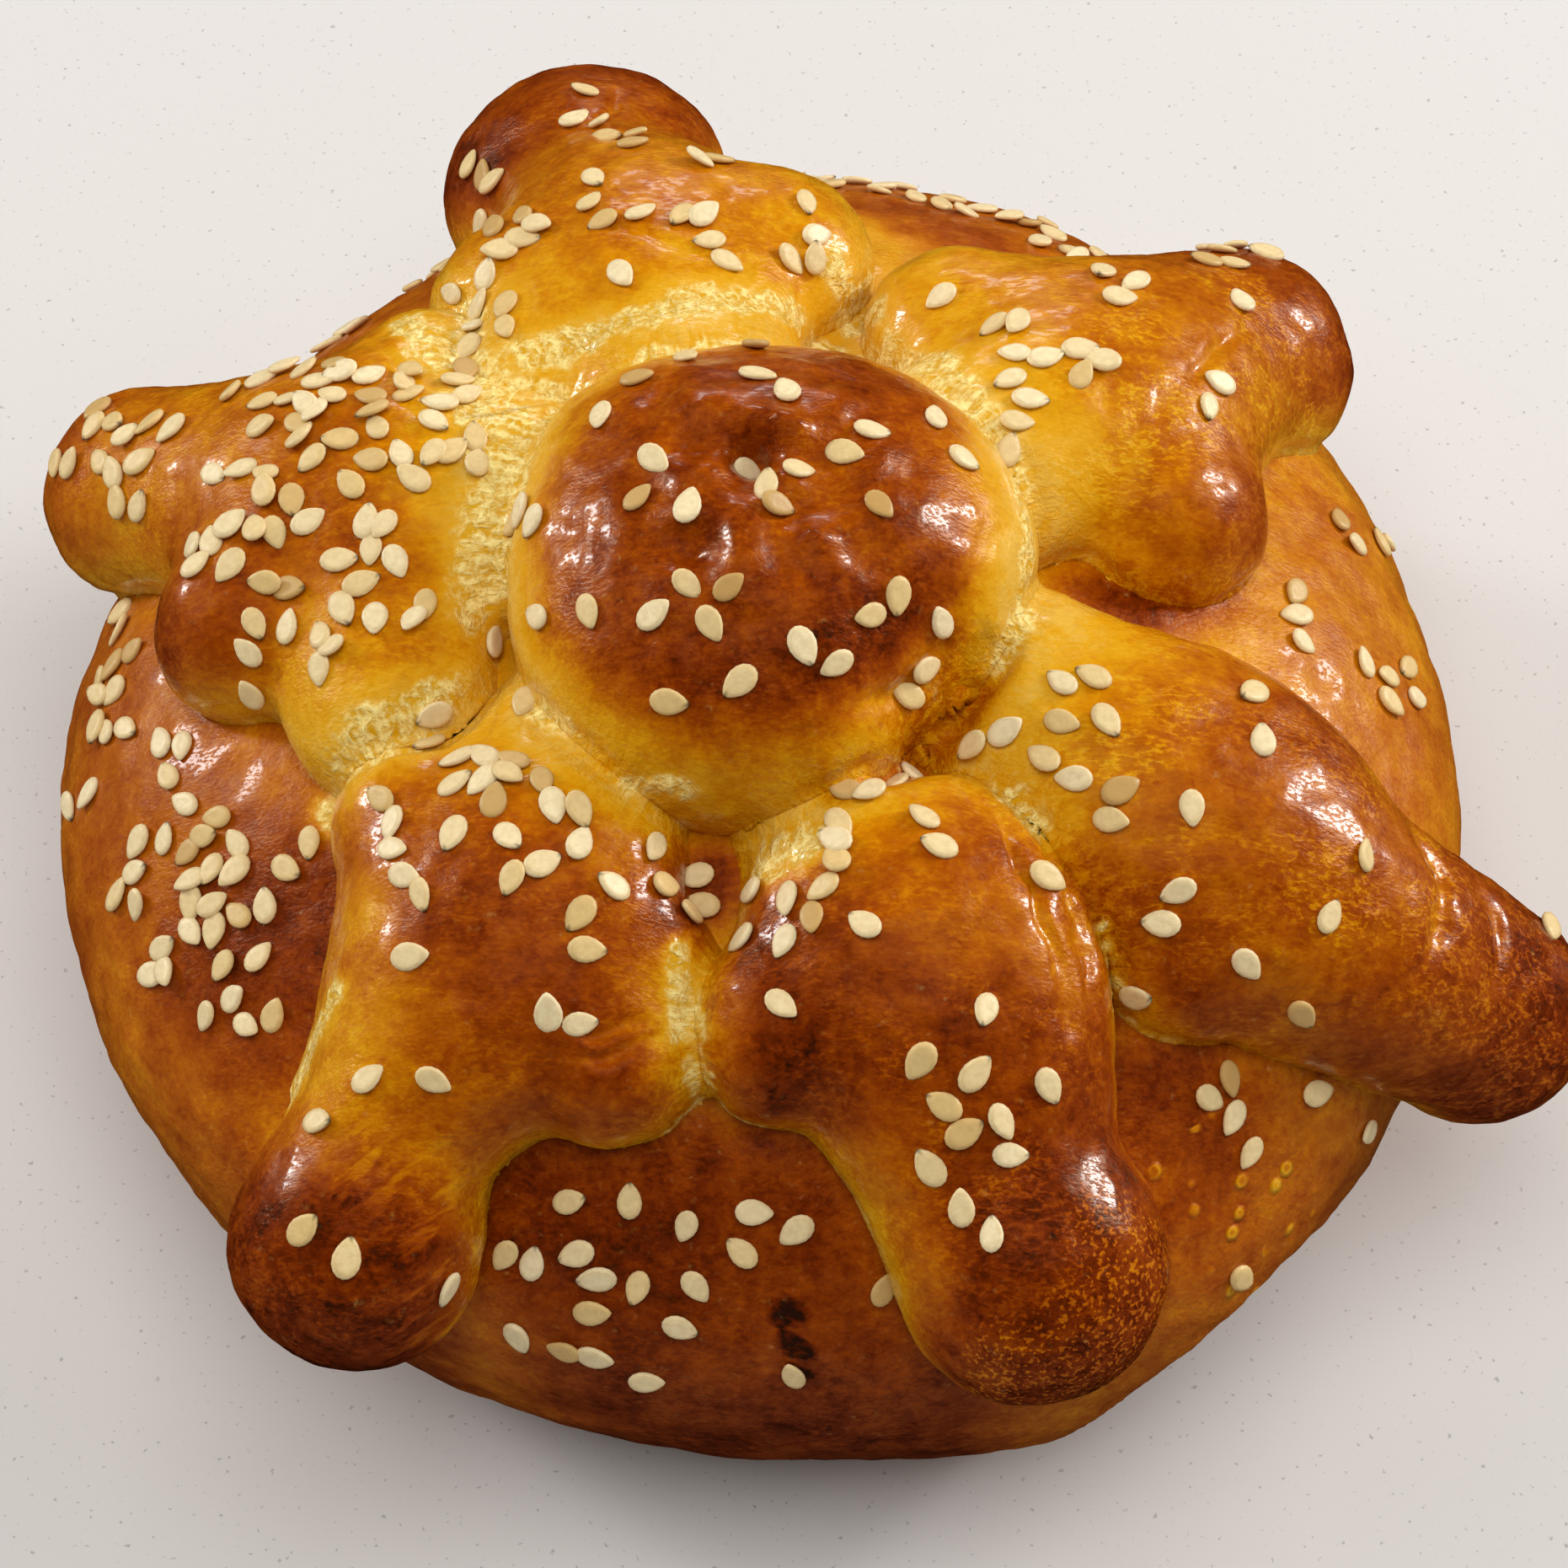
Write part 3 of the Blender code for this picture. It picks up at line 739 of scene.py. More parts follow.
def crust_directions(points):
    """The crown's outward direction at each point."""
    scaled = np.array([1 / LOAF_RADIUS**2, 1 / LOAF_RADIUS**2, 1 / CROWN**2])
    ways = (points - (0, 0, WIDEST_HEIGHT)) * scaled
    return ways / np.linalg.norm(ways, axis=1, keepdims=True)


def blended_bake(points, rows):
    """Each point's browning from the balls near it; a near ball counts far more."""
    rows = np.array([list(row) for row in rows])
    total, weights = np.zeros(len(points)), np.zeros(len(points))
    for x, y, z, width, _, bake in rows:
        away = np.linalg.norm(points - (x, y, z), axis=1) / width
        weight = 1 / (away**BLEND_POWER + BLEND_FLOOR)
        total += weight * bake
        weights += weight
    return total / weights


def strip_bake(name, points, normals):
    """A strip's browning: its balls' on top, and paler on its flanks."""
    rows = [row for line in strip_lines(name) for row in rolled_balls(line)]
    facing = (normals * crust_directions(points)).sum(axis=1)
    facing_up = FLANK_BROWNING + (1 - FLANK_BROWNING) * smooth_step(*FLANK_FACING, facing)
    return blended_bake(points, rows) * facing_up


def loaf_bake(points):
    """The loaf's browning, blended from the places where it is known."""
    rows = [
        (*crust_point(azimuth, tilt), LOAF_RADIUS / 4, 0, bake) for azimuth, tilt, bake in LOAF_BAKES
    ]
    return blended_bake(points, rows)


def knob_bake(points):
    """Brown on top and pale round its foot, a little lower at the back."""
    pale, brown = KNOB_BAKE
    heat = points @ KNOB_HEAT_LEAN
    return pale + (brown - pale) * smooth_step(KNOB_PALE_HEIGHT, KNOB_BROWN_HEIGHT, heat)


def away_from(points, right, back):
    """How far each point is in plan from a place, in millimetres."""
    return np.linalg.norm(points[:, :2] / MM - (right, back), axis=1)


def near_places(points, places):
    """From 0 to 1, how near each point is in plan to the nearest of some round places."""
    amount = np.zeros(len(points))
    for right, back, reach in places:
        away = away_from(points, right, back) / reach
        amount = np.maximum(amount, 1 - smooth_step(*PLACE_EDGE, away))
    return amount


def touched_with_painted_light(name, points):
    """How much browner each point is than its shape tells, with painted shade and painted highlight."""
    change = np.zeros(len(points))
    for right, back, reach, browner in BROWNING_AND_PAINTED_LIGHT[name]:
        away = away_from(points, right, back) / reach
        change += browner * np.exp(-(away**2))
    return change


def burnt(points):
    """How burnt each point is, from 0 to 1, in ragged blotches."""
    amount = np.zeros(len(points))
    for right, back, up, reach in BURNS:
        away = np.linalg.norm(points / MM - (right, back, up), axis=1) / reach
        near = away < BURN_SEARCH
        ragged = away[near] + BURN_RAGGEDNESS * slow_noise(points[near], size=1.3 * MM, seed=6)
        amount[near] = np.maximum(amount[near], 1 - smooth_step(*BURN_EDGE, ragged))
    return amount


print("browning can be worked out for", ", ".join(dough_pieces))

# %% Browning of each point
MOST_BROWN = 0.88

# How much paler a piece is at a seam, and how strongly its dough was drawn into strings there.
SEAM_PALENESS = {"loaf": 0.08, "knob": 0.5}
STRIP_SEAM_PALENESS = 0.6
DRAWN_OUT = {"loaf": 0.4}
DRAWN_REACH = 0.8 * SEAM_REACH
LOOSE_FROM = 0.4 * SEAM_REACH

# Slow changes of browning over the crust: how much, their size, and the seed of their noise.
DRIFTS = ((0.09, 7 * MM, 1), (0.07, 2.4 * MM, 2))


def piece_bake(name, points, normals):
    """How brown each point of a piece is, from 0 to 1."""
    if name == "loaf":
        bake = loaf_bake(points)
    elif name == "knob":
        bake = knob_bake(points)
    else:
        bake = strip_bake(name, points, normals)
    # At the seams that lie in shade the pale seam colour is left out, as painted shade.
    paleness = SEAM_PALENESS.get(name, STRIP_SEAM_PALENESS) * (1 - near_places(points, SHADED_SEAMS))
    bake *= 1 - paleness * (1 - smooth_step(0, SEAM_REACH, seams[name]))
    # The touches add real browning, and painted shade and painted highlight in a few places.
    bake += touched_with_painted_light(name, points)
    for share, size, seed in DRIFTS:
        bake += share * slow_noise(points, size, seed)
    bake = np.clip(bake, 0.0, MOST_BROWN)
    return np.maximum(bake, burnt(points)) if name == "loaf" else bake


for name, piece in dough_pieces.items():
    points, foot = points_of(piece), feet[name]
    bake = piece_bake(name, points, normals_of(piece))
    store(piece, "bake", bake)
    away = np.linalg.norm(points - foot, axis=1)
    from_seam = np.where(seams[name] < SEAM_REACH, away, SEAM_REACH)
    pulled_out = DRAWN_OUT.get(name, 1.0)
    store(piece, "drawn", pulled_out * (1 - smooth_step(0, DRAWN_REACH, from_seam)))
    loose = smooth_step(LOOSE_FROM, SEAM_REACH, from_seam)[:, None]
    store_places(piece, "seam_foot", foot * (1 - loose) + points * loose)
    print(name, "browning from", round(float(bake.min()), 2), "to", round(float(bake.max()), 2))

# %% [markdown]
# Torn edges
#
# Where two pieces grew apart in the oven, the skin between them stretched and tore, and the pale
# crumb shows: a rough, stringy band with little gloss. The places are named by where they lie on the
# bun, in millimetres from its middle. Points within reach of one belong to a vertex group,
# and Displace modifiers with Blender's procedural textures roughen just that group. Creases in the
# skin and the clefts beside seams are marked and pressed in the same way.

# %% Name the torn places, the creases and the other marks
# Each torn stretch is a row of places: millimetres to the right, to the back, and half-width.
TORN_STRETCHES = (
    ((-27, 24, 1.6), (-22, 17.5, 3.0), (-20, 13, 3.4), (-18.5, 7, 2.8), (-19, 2, 2.6), (-21, -3, 1.8)),
    ((-17, 19, 1.8), (-11, 20, 1.3), (-6, 21.5, 1.7), (-1, 23, 1.6), (4, 24, 1.1)),
    ((-21.5, -10, 1.4), (-24, -12.5, 2.2), (-28, -13.5, 2.2), (-31, -16, 1.4)),
    ((3, 25, 1.4), (10, 22, 1.8), (15, 14, 1.8), (18.5, 8, 1.2)),
    ((6, 30, 1.4), (9, 26, 1.4)),
    ((-5.4, -31, 0.8), (-5.2, -34, 1.1), (-5.4, -36.5, 0.9)),
    ((0.4, -24.5, 1.6), (2, -24.5, 2.0), (4, -24.5, 1.4)),
    ((-29.5, -32.5, 1.0), (-32, -35, 1.6), (-34, -37.5, 1.6), (-35.5, -39, 1.0)),
    ((24.5, -28, 0.4), (25.3, -31, 0.7), (25.3, -33, 0.4)),
    ((19, 4, 1.0), (19.6, -1, 1.3), (19.2, -6, 1.3), (17.5, -9.5, 0.8)),
    ((-9, -19.5, 1.0), (-5, -20.8, 1.1)),
)

# Each crease is a row of places: millimetres to the right, to the back, and strength.
CREASES = (
    ((16.5, -21, 0.3), (18.5, -26, 1.0), (20.5, -31, 0.9), (22, -37, 0.2)),
    ((20, -21.5, 0.3), (22, -26, 0.9), (23, -31, 0.8), (23.5, -35, 0.2)),
    ((-15, -36, 0.2), (-11, -37.5, 0.9), (-7.5, -36.5, 0.4)),
    ((-13, -39.5, 0.2), (-10, -39, 0.8), (-7, -37.5, 0.3)),
    ((6.5, -17, 0.2), (10, -14.5, 1.0), (13, -11.5, 0.8), (14.5, -8, 0.2)),
    ((11, -15.5, 0.3), (13.5, -13.5, 0.8), (16, -9.5, 0.4)),
    ((48, -17, 0.2), (50, -21, 0.8), (49.5, -25.5, 0.9), (47.5, -29, 0.2)),
    ((53, -19.5, 0.2), (54.5, -23, 0.8), (54, -27, 0.2)),
    ((-17, 47, 0.2), (-14, 46, 0.8), (-10.5, 42.5, 0.3)),
    ((-14, 46, 0.2), (-12, 50, 0.7), (-12, 53, 0.2)),
    ((33, 17, 0.2), (35, 21, 0.7), (38, 25, 0.2)),
    ((-30, 22, 0.2), (-27, 17, 0.8), (-25.5, 12, 0.2)),
    ((-12, 31, 0.2), (-7, 28, 0.4), (-1, 26, 0.2)),
)

# Marks of the crust: the pieces that carry them, and where: millimetres and reach.
MARKS = {
    "freckled": (
        ("strip_upper",),
        ((25, -50, 4.0), (26, -54, 5.0), (22, -57, 4.0), (17, -58, 3.0), (28, -49, 2.5)),
    ),
    "netted": (
        tuple(dough_pieces),
        ((30, -20, 9), (40, -22, 9), (50, -22, 9), (58, -26, 9), (30, 15, 9), (38, 24, 9), (16, -42, 7)),
    ),
    "blistered": (
        ("loaf",),
        ((31, -40, 3.2), (33.5, -41.5, 2.6), (35, -44, 2.4), (39, -39.5, 2.0), (31.5, -37.5, 2.0)),
    ),
    "streaked": (
        ("strip_lower",),
        ((-23, -47, 4.0), (-22, -52, 4.0), (-27, -45, 3.0), (-19, -48, 2.5)),
    ),
}
print(len(TORN_STRETCHES), "torn stretches,", len(CREASES), "creases and", len(MARKS), "other marks")

# %% Find the torn points
Z_ABOVE = 0.1

# How far a tear and the pale skin round it reach, in shares of the tear's half-width.
TORN_EDGE = (0.5, 1.3)
HALO_EDGE = (0.7, 2.2)
TORN_SEARCH = 2.8
TORN_FAR = 9.0

# How ragged a tear's edge is: how much, its size, and the seed of its noise.
TORN_RAGGEDNESS = ((0.5, 1.6 * MM, 3), (0.25, 0.8 * MM, 7))
FRINGE_HEIGHTS = (36 * MM, 48 * MM)
FRINGE_EDGE = (0.6 * MM, 1.5 * MM)
FRINGE_SEARCH = 3 * MM
FRINGE_RAGGEDNESS = 1.1 * MM
FRINGE_PATCHES = (0.0, 0.22)


def places_along(row, step):
    """Places close together along a row of places, with what each carries."""
    places = []
    for start, end in zip(row, row[1:]):
        start, end = np.array(start, float), np.array(end, float)
        count = max(1, round(float(np.linalg.norm((end - start)[:2])) / step))
        places += [start + (end - start) * share / count for share in range(count)]
    return [*places, np.array(row[-1], float)]


def drop(x, y):
    """The highest point of the dough under a place given in metres, and which piece it is on."""
    hits = []
    for name, tree in dough_trees.items():
        place, normal, _, _ = tree.ray_cast(Vector((x, y, Z_ABOVE)), Vector((0, 0, -1)))
        if place is not None:
            hits.append((place.z, name, place, normal))
    return max(hits)[1:] if hits else None


torn_spots = [
    (drop(x * MM, y * MM)[1], width * MM)
    for row in TORN_STRETCHES
    for x, y, width in places_along(row, step=1.0)
]


def torn_reach(points):
    """How far each point is from the torn places, as a share of their half-width, raggedly."""
    nearest = np.full(len(points), TORN_FAR)
    for spot, width in torn_spots:
        nearest = np.minimum(nearest, np.linalg.norm(points - np.array(spot), axis=1) / width)
    for share, size, seed in TORN_RAGGEDNESS:
        nearest += share * slow_noise(points, size, seed)
    return nearest


def fringe(points, distances):
    """A thin ragged edge along a seam, that comes and goes."""
    amount = np.zeros(len(points))
    near = distances < FRINGE_SEARCH
    ragged = distances[near] + FRINGE_RAGGEDNESS * slow_noise(points[near], size=1.3 * MM, seed=4)
    here = smooth_step(*FRINGE_PATCHES, slow_noise(points[near], size=6 * MM, seed=5))
    # Low on the bun and at the seams in shade the pale fringe is left out, so these seams stay brown as
    # painted shade.
    here *= smooth_step(*FRINGE_HEIGHTS, points[near, 2]) * (1 - near_places(points[near], SHADED_SEAMS))
    amount[near] = here * (1 - smooth_step(*FRINGE_EDGE, ragged))
    return amount


def torn_and_halo(points):
    """How torn each point is, and how pale beside a tear, both from 0 to 1."""
    close = np.full(len(points), False)
    for spot, width in torn_spots:
        close |= np.linalg.norm(points - np.array(spot), axis=1) < TORN_SEARCH * width
    torn, halo = np.zeros(len(points)), np.zeros(len(points))
    if close.any():
        reach = torn_reach(points[close])
        torn[close] = 1 - smooth_step(*TORN_EDGE, reach)
        halo[close] = 1 - smooth_step(*HALO_EDGE, reach)
    return torn, halo


print(len(torn_spots), "torn spots")

# %% Find the creases and clefts, and keep all marks on the pieces
CREASE_WIDTH = 0.55
CREASE_SEARCH = 14
CREASE_WANDER = 0.7
CREASE_PALENESS = 0.16
HALO_PALENESS = 0.5
CLEFT_OPENS = (0.15 * MM, 0.5 * MM)
CLEFT_CLOSES = (0.7 * MM, 2.2 * MM)
CLEFT_LEAST = 0.25
CLEFT_WAVES = (-0.25, 0.35)
LEAST_WEIGHT = 0.02


def creased(points):
    """How deep in a crease each point is, from 0 to 1."""
    amount = np.zeros(len(points))
    for row in CREASES:
        middle = np.mean([place[:2] for place in row], axis=0)
        near = np.flatnonzero(away_from(points, *middle) < CREASE_SEARCH)
        if not len(near):
            continue
        wander = CREASE_WANDER * slow_noise(points[near], size=2.5 * MM, seed=9)
        spots = points[near, :2] / MM + wander[:, None]
        for x, y, strength in places_along(row, step=0.4):
            away = np.linalg.norm(spots - (x, y), axis=1) / CREASE_WIDTH
            amount[near] = np.maximum(amount[near], strength * np.exp(-(away**2)))
    return amount


def cleft_share(points, distances):
    """How deep each point lies in the cleft beside a seam, from 0 to 1; it comes and goes."""
    amount = smooth_step(*CLEFT_OPENS, distances) * (1 - smooth_step(*CLEFT_CLOSES, distances))
    near = np.flatnonzero(amount > 0)
    wavering = smooth_step(*CLEFT_WAVES, slow_noise(points[near], size=5 * MM, seed=8))
    amount[near] *= CLEFT_LEAST + (1 - CLEFT_LEAST) * wavering
    return amount


def add_group(piece, name, weights):
    """A vertex group with these weights."""
    group = piece.vertex_groups.new(name=name)
    for index in np.flatnonzero(weights > LEAST_WEIGHT):
        group.add([int(index)], float(weights[index]), "REPLACE")


for name, piece in dough_pieces.items():
    points = points_of(piece)
    torn, halo = torn_and_halo(points)
    crease, cleft = np.zeros(len(points)), np.zeros(len(points))
    if name != "loaf":
        torn = np.maximum(torn, fringe(points, seams[name]))
        crease, cleft = creased(points), cleft_share(points, seams[name])
    store(piece, "torn", torn)
    for mark, (carriers, places) in MARKS.items():
        store(piece, mark, near_places(points, places if name in carriers else ()))
    bake = np.empty(len(points), np.float32)
    piece.data.attributes["bake"].data.foreach_get("value", bake)
    bake = bake * (1 - HALO_PALENESS * halo) - CREASE_PALENESS * crease
    store(piece, "bake", np.clip(bake, 0, 1))
    add_group(piece, "crease", crease)
    add_group(piece, "torn", torn)
    add_group(piece, "cleft", cleft)
    print(name, "torn points:", int((torn > 0.5).sum()))

# %% Relief of the skin and of the torn crumb
def relief_texture(name, size, depth=2):
    """Blender's procedural clouds, with swellings of this size."""
    texture = bpy.data.textures.new(name, "CLOUDS")
    texture.noise_scale = size
    texture.noise_depth = depth
    return texture


swells = relief_texture("swells", 9 * MM)
wrinkles = relief_texture("wrinkles", 3.2 * MM)
crumb_strings = relief_texture("crumb_strings", 0.8 * MM, depth=4)
SWELL_HEIGHT = 0.7 * MM
WRINKLE_HEIGHT = 0.4 * MM
CRUMB_HEIGHT = 0.45 * MM
CLEFT_DEPTH = 0.28 * MM
CREASE_DEPTH = 0.8 * MM
for piece in dough_pieces.values():
    apply_modifier(piece, "DISPLACE", texture=swells, strength=SWELL_HEIGHT)
    apply_modifier(piece, "DISPLACE", texture=wrinkles, strength=WRINKLE_HEIGHT)
    for groove, depth in (("cleft", CLEFT_DEPTH), ("crease", CREASE_DEPTH)):
        apply_modifier(piece, "DISPLACE", strength=-depth, mid_level=0.0, vertex_group=groove)
    apply_modifier(piece, "DISPLACE", texture=crumb_strings, strength=CRUMB_HEIGHT, vertex_group="torn")
print("relief applied")

# %% [markdown]
# Crust materials
#
# The crust's colour comes from one group that turns browning into colour along a row of tones, from
# pale crumb over butter yellow and copper to near black, with fine mottling. Other groups make
# the grain of the egg wash, the strings of torn crumb, the net of stretched skin, streaks, freckles
# and blisters. Each dough material places the same groups with its own values.

# %% Node helpers
def new_group(name, inputs, *outputs):
    """A shader node group with these value inputs, and its outputs: values, or a colour."""
    tree = bpy.data.node_groups.new(name, "ShaderNodeTree")
    for label, value in inputs.items():
        kind = "NodeSocketVector" if isinstance(value, tuple) else "NodeSocketFloat"
        socket = tree.interface.new_socket(label, in_out="INPUT", socket_type=kind)
        socket.default_value = value
    for label in outputs:
        kind = "NodeSocketColor" if label == "Colour" else "NodeSocketFloat"
        tree.interface.new_socket(label, in_out="OUTPUT", socket_type=kind)
    return tree, tree.nodes.new("NodeGroupInput"), tree.nodes.new("NodeGroupOutput")


def maths(tree, operation, first, second=None, third=None, clamp=False):
    """A Math node; each operand is a number or a socket."""
    node = tree.nodes.new("ShaderNodeMath")
    node.operation = operation
    node.use_clamp = clamp
    for socket, operand in zip(node.inputs, (first, second, third)):
        if isinstance(operand, (int, float)):
            socket.default_value = operand
        elif operand is not None:
            tree.links.new(operand, socket)
    return node.outputs[0]


def remap(tree, value, low, high, to_low=0.0, to_high=1.0):
    """A smooth Map Range."""
    node = tree.nodes.new("ShaderNodeMapRange")
    node.interpolation_type = "SMOOTHSTEP"
    tree.links.new(value, node.inputs["Value"])
    limits = {"From Min": low, "From Max": high, "To Min": to_low, "To Max": to_high}
    for label, number in limits.items():
        node.inputs[label].default_value = number
    return node.outputs["Result"]


print("value nodes ready")

# %% Texture, colour and bump nodes
def grain(
    tree, size, detail=2.0, stretch=(1.0, 1.0, 1.0), distortion=0.0, roughness=0.5, place=None, turn=0.0
):
    """A noise texture with features of this size in metres, on the object's own coordinates."""
    place = place or tree.nodes.new("ShaderNodeTexCoord").outputs["Object"]
    mapping = tree.nodes.new("ShaderNodeMapping")
    mapping.vector_type = "TEXTURE"
    mapping.inputs["Scale"].default_value = [1 / value for value in stretch]
    mapping.inputs["Rotation"].default_value = (0, 0, turn)
    tree.links.new(place, mapping.inputs["Vector"])
    node = tree.nodes.new("ShaderNodeTexNoise")
    node.inputs["Scale"].default_value = 1 / size
    node.inputs["Detail"].default_value = detail
    node.inputs["Roughness"].default_value = roughness
    node.inputs["Distortion"].default_value = distortion
    tree.links.new(mapping.outputs["Vector"], node.inputs["Vector"])
    return node.outputs["Fac"]


MIX_SHARE, MIX_COLOURS, MIX_RESULT = 0, (6, 7), 2


def mix_colours(tree, share, *colours):
    """Mixes two colours; each is a socket or red, green and blue."""
    node = tree.nodes.new("ShaderNodeMix")
    node.data_type = "RGBA"
    tree.links.new(share, node.inputs[MIX_SHARE])
    for index, colour in zip(MIX_COLOURS, colours):
        if isinstance(colour, tuple):
            node.inputs[index].default_value = (*colour, 1.0)
        else:
            tree.links.new(colour, node.inputs[index])
    return node.outputs[MIX_RESULT]


def colour_ramp(tree, value, tones):
    """The colour that a value has along a row of tones."""
    ramp = tree.nodes.new("ShaderNodeValToRGB")
    stops = ramp.color_ramp.elements
    for stop, (position, colour) in zip(stops, (tones[0], tones[-1])):
        stop.position, stop.color = position, (*colour, 1.0)
    for position, colour in tones[1:-1]:
        stops.new(position).color = (*colour, 1.0)
    tree.links.new(value, ramp.inputs["Fac"])
    return ramp.outputs["Color"]


def bump_normal(tree, height, depth):
    """The normals of a surface whose fine relief is this deep."""
    bump = tree.nodes.new("ShaderNodeBump")
    bump.inputs["Distance"].default_value = depth
    tree.links.new(height, bump.inputs["Height"])
    return bump.outputs["Normal"]


def tone(red, green, blue):
    """A screen colour from 0 to 255 as the linear light that shaders use."""
    return tuple(
        value / 12.92 if value <= 0.04045 else ((value + 0.055) / 1.055) ** 2.4
        for value in (red / 255, green / 255, blue / 255)
    )


print("texture, colour and bump nodes ready")

# %% Colour of the crust
CRUST_TONES = (
    (0.00, tone(222, 172, 62)),
    (0.13, tone(219, 160, 28)),
    (0.26, tone(214, 150, 10)),
    (0.40, tone(200, 124, 0)),
    (0.55, tone(178, 94, 0)),
    (0.70, tone(150, 64, 0)),
    (0.85, tone(114, 38, 0)),
    (0.95, tone(74, 22, 0)),
    (1.00, tone(42, 18, 10)),
)
CRUMB_PALE = tone(250, 228, 146)
CRUMB_DEEP = tone(214, 158, 14)


def crust_colour_group():
    """Browning as colour, with mottling, and torn crumb over it."""
    given_values = {"Bake": 0.5, "Torn": 0.0, "Strings": 0.0, "Mottling": 0.1}
    tree, given, result = new_group("crust_colour", given_values, "Colour")
    blotches = grain(tree, 2.4 * MM, detail=5.0, roughness=0.62, distortion=0.4)
    flecks = grain(tree, 0.6 * MM, detail=3.0, stretch=(0.8, 1.2, 1.0), distortion=0.6, roughness=0.6)
    flecks = maths(tree, "MULTIPLY", maths(tree, "SUBTRACT", flecks, 0.5), 0.7)
    both = maths(tree, "ADD", maths(tree, "SUBTRACT", blotches, 0.5), flecks)
    uneven = maths(tree, "MULTIPLY", both, given.outputs["Mottling"])
    bake = maths(tree, "ADD", given.outputs["Bake"], uneven, clamp=True)
    crust = colour_ramp(tree, bake, CRUST_TONES)
    crumb = mix_colours(tree, given.outputs["Strings"], CRUMB_DEEP, CRUMB_PALE)
    frayed = maths(tree, "SUBTRACT", grain(tree, 0.7 * MM, detail=3.0), 0.5)
    ragged = maths(tree, "ADD", given.outputs["Torn"], frayed)
    colour = mix_colours(tree, remap(tree, ragged, 0.1, 0.9), crust, crumb)
    tree.links.new(colour, result.inputs["Colour"])
    return tree


crust_colour = crust_colour_group()
print("group", crust_colour.name, "with", len(crust_colour.nodes), "nodes")

# %% Grain of the egg wash and drawn strings
def egg_wash_group():
    """The fine, slightly drawn-out wrinkles of dried egg wash, and where it dried glossy."""
    tree, _, result = new_group("egg_wash_grain", {}, "Height", "Gloss")
    fine = grain(tree, 0.34 * MM, stretch=(0.7, 1.4, 1.0))
    rough_here = remap(tree, grain(tree, 8 * MM, detail=1.0), 0.35, 0.65, 0.45, 1.0)
    fine = maths(tree, "MULTIPLY", fine, rough_here)
    broad = maths(tree, "MULTIPLY", grain(tree, 1.6 * MM), 0.8)
    tree.links.new(maths(tree, "ADD", fine, broad), result.inputs["Height"])
    dashes = grain(tree, 0.42 * MM, stretch=(0.5, 1.6, 1.6), roughness=0.6)
    tree.links.new(remap(tree, dashes, 0.46, 0.55, 0.02, 1.0), result.inputs["Gloss"])
    return tree


def drawn_strings_group():
    """Strings of dough that run from a seam up the flanks, from 0 in the gaps to 1."""
    tree, given, result = new_group("drawn_strings", {"Foot": (0, 0, 0)}, "Strings")
    along = grain(tree, 0.55 * MM, distortion=0.6, roughness=0.6, place=given.outputs["Foot"])
    broken = grain(tree, 0.8 * MM, detail=3.0, distortion=0.8, roughness=0.65)
    both = maths(tree, "ADD", maths(tree, "MULTIPLY", along, 0.4), maths(tree, "MULTIPLY", broken, 0.6))
    tree.links.new(remap(tree, both, 0.38, 0.64), result.inputs["Strings"])
    return tree


egg_wash, drawn_strings = egg_wash_group(), drawn_strings_group()
print("groups:", egg_wash.name, drawn_strings.name)

# %% Stretched skin, streaks and freckles
STREAK_TURN = math.radians(37.0)


def mask_group(name, shape_of):
    """A group that masks the crust by a pattern times the amount that it is given."""
    tree, given, result = new_group(name, {"Amount": 0.5}, "Mask")
    mask = maths(tree, "MULTIPLY", shape_of(tree), given.outputs["Amount"], clamp=True)
    tree.links.new(mask, result.inputs["Mask"])
    return tree


def net_lines(tree):
    """A net of soft golden lines, in patches, where the browned skin was drawn out."""
    swing = grain(tree, 1.5 * MM, detail=3.0, stretch=(0.6, 1.2, 1.0), roughness=0.6)
    off_line = maths(tree, "ABSOLUTE", maths(tree, "SUBTRACT", swing, 0.5))
    line = remap(tree, off_line, 0.0, 0.08, 1.0, 0.0)
    grains = remap(tree, grain(tree, 0.4 * MM, stretch=(0.7, 1.2, 1.0)), 0.4, 0.58, 0.15, 1.0)
    patch = remap(tree, grain(tree, 8 * MM, detail=3.0), 0.38, 0.54)
    return maths(tree, "MULTIPLY", maths(tree, "MULTIPLY", line, grains), patch)


def neck_streaks(tree):
    """Long soft streaks where a neck was pulled out between its knuckles."""
    pulled = grain(tree, 1.0 * MM, detail=3.0, stretch=(0.15, 1.2, 0.7), turn=STREAK_TURN)
    return remap(tree, pulled, 0.5, 0.66, 0.0, 0.7)


def golden_specks(tree):
    """Fine golden specks where tiny bubbles broke through the egg wash."""
    return remap(tree, grain(tree, 0.38 * MM), 0.53, 0.62)


stretched_skin = mask_group("stretched_skin", net_lines)
streaks = mask_group("streaks", neck_streaks)
freckles = mask_group("freckles", golden_specks)
print("groups:", stretched_skin.name, streaks.name, freckles.name)

# %% Blisters
BLISTER_SPACING = 2.1 * MM


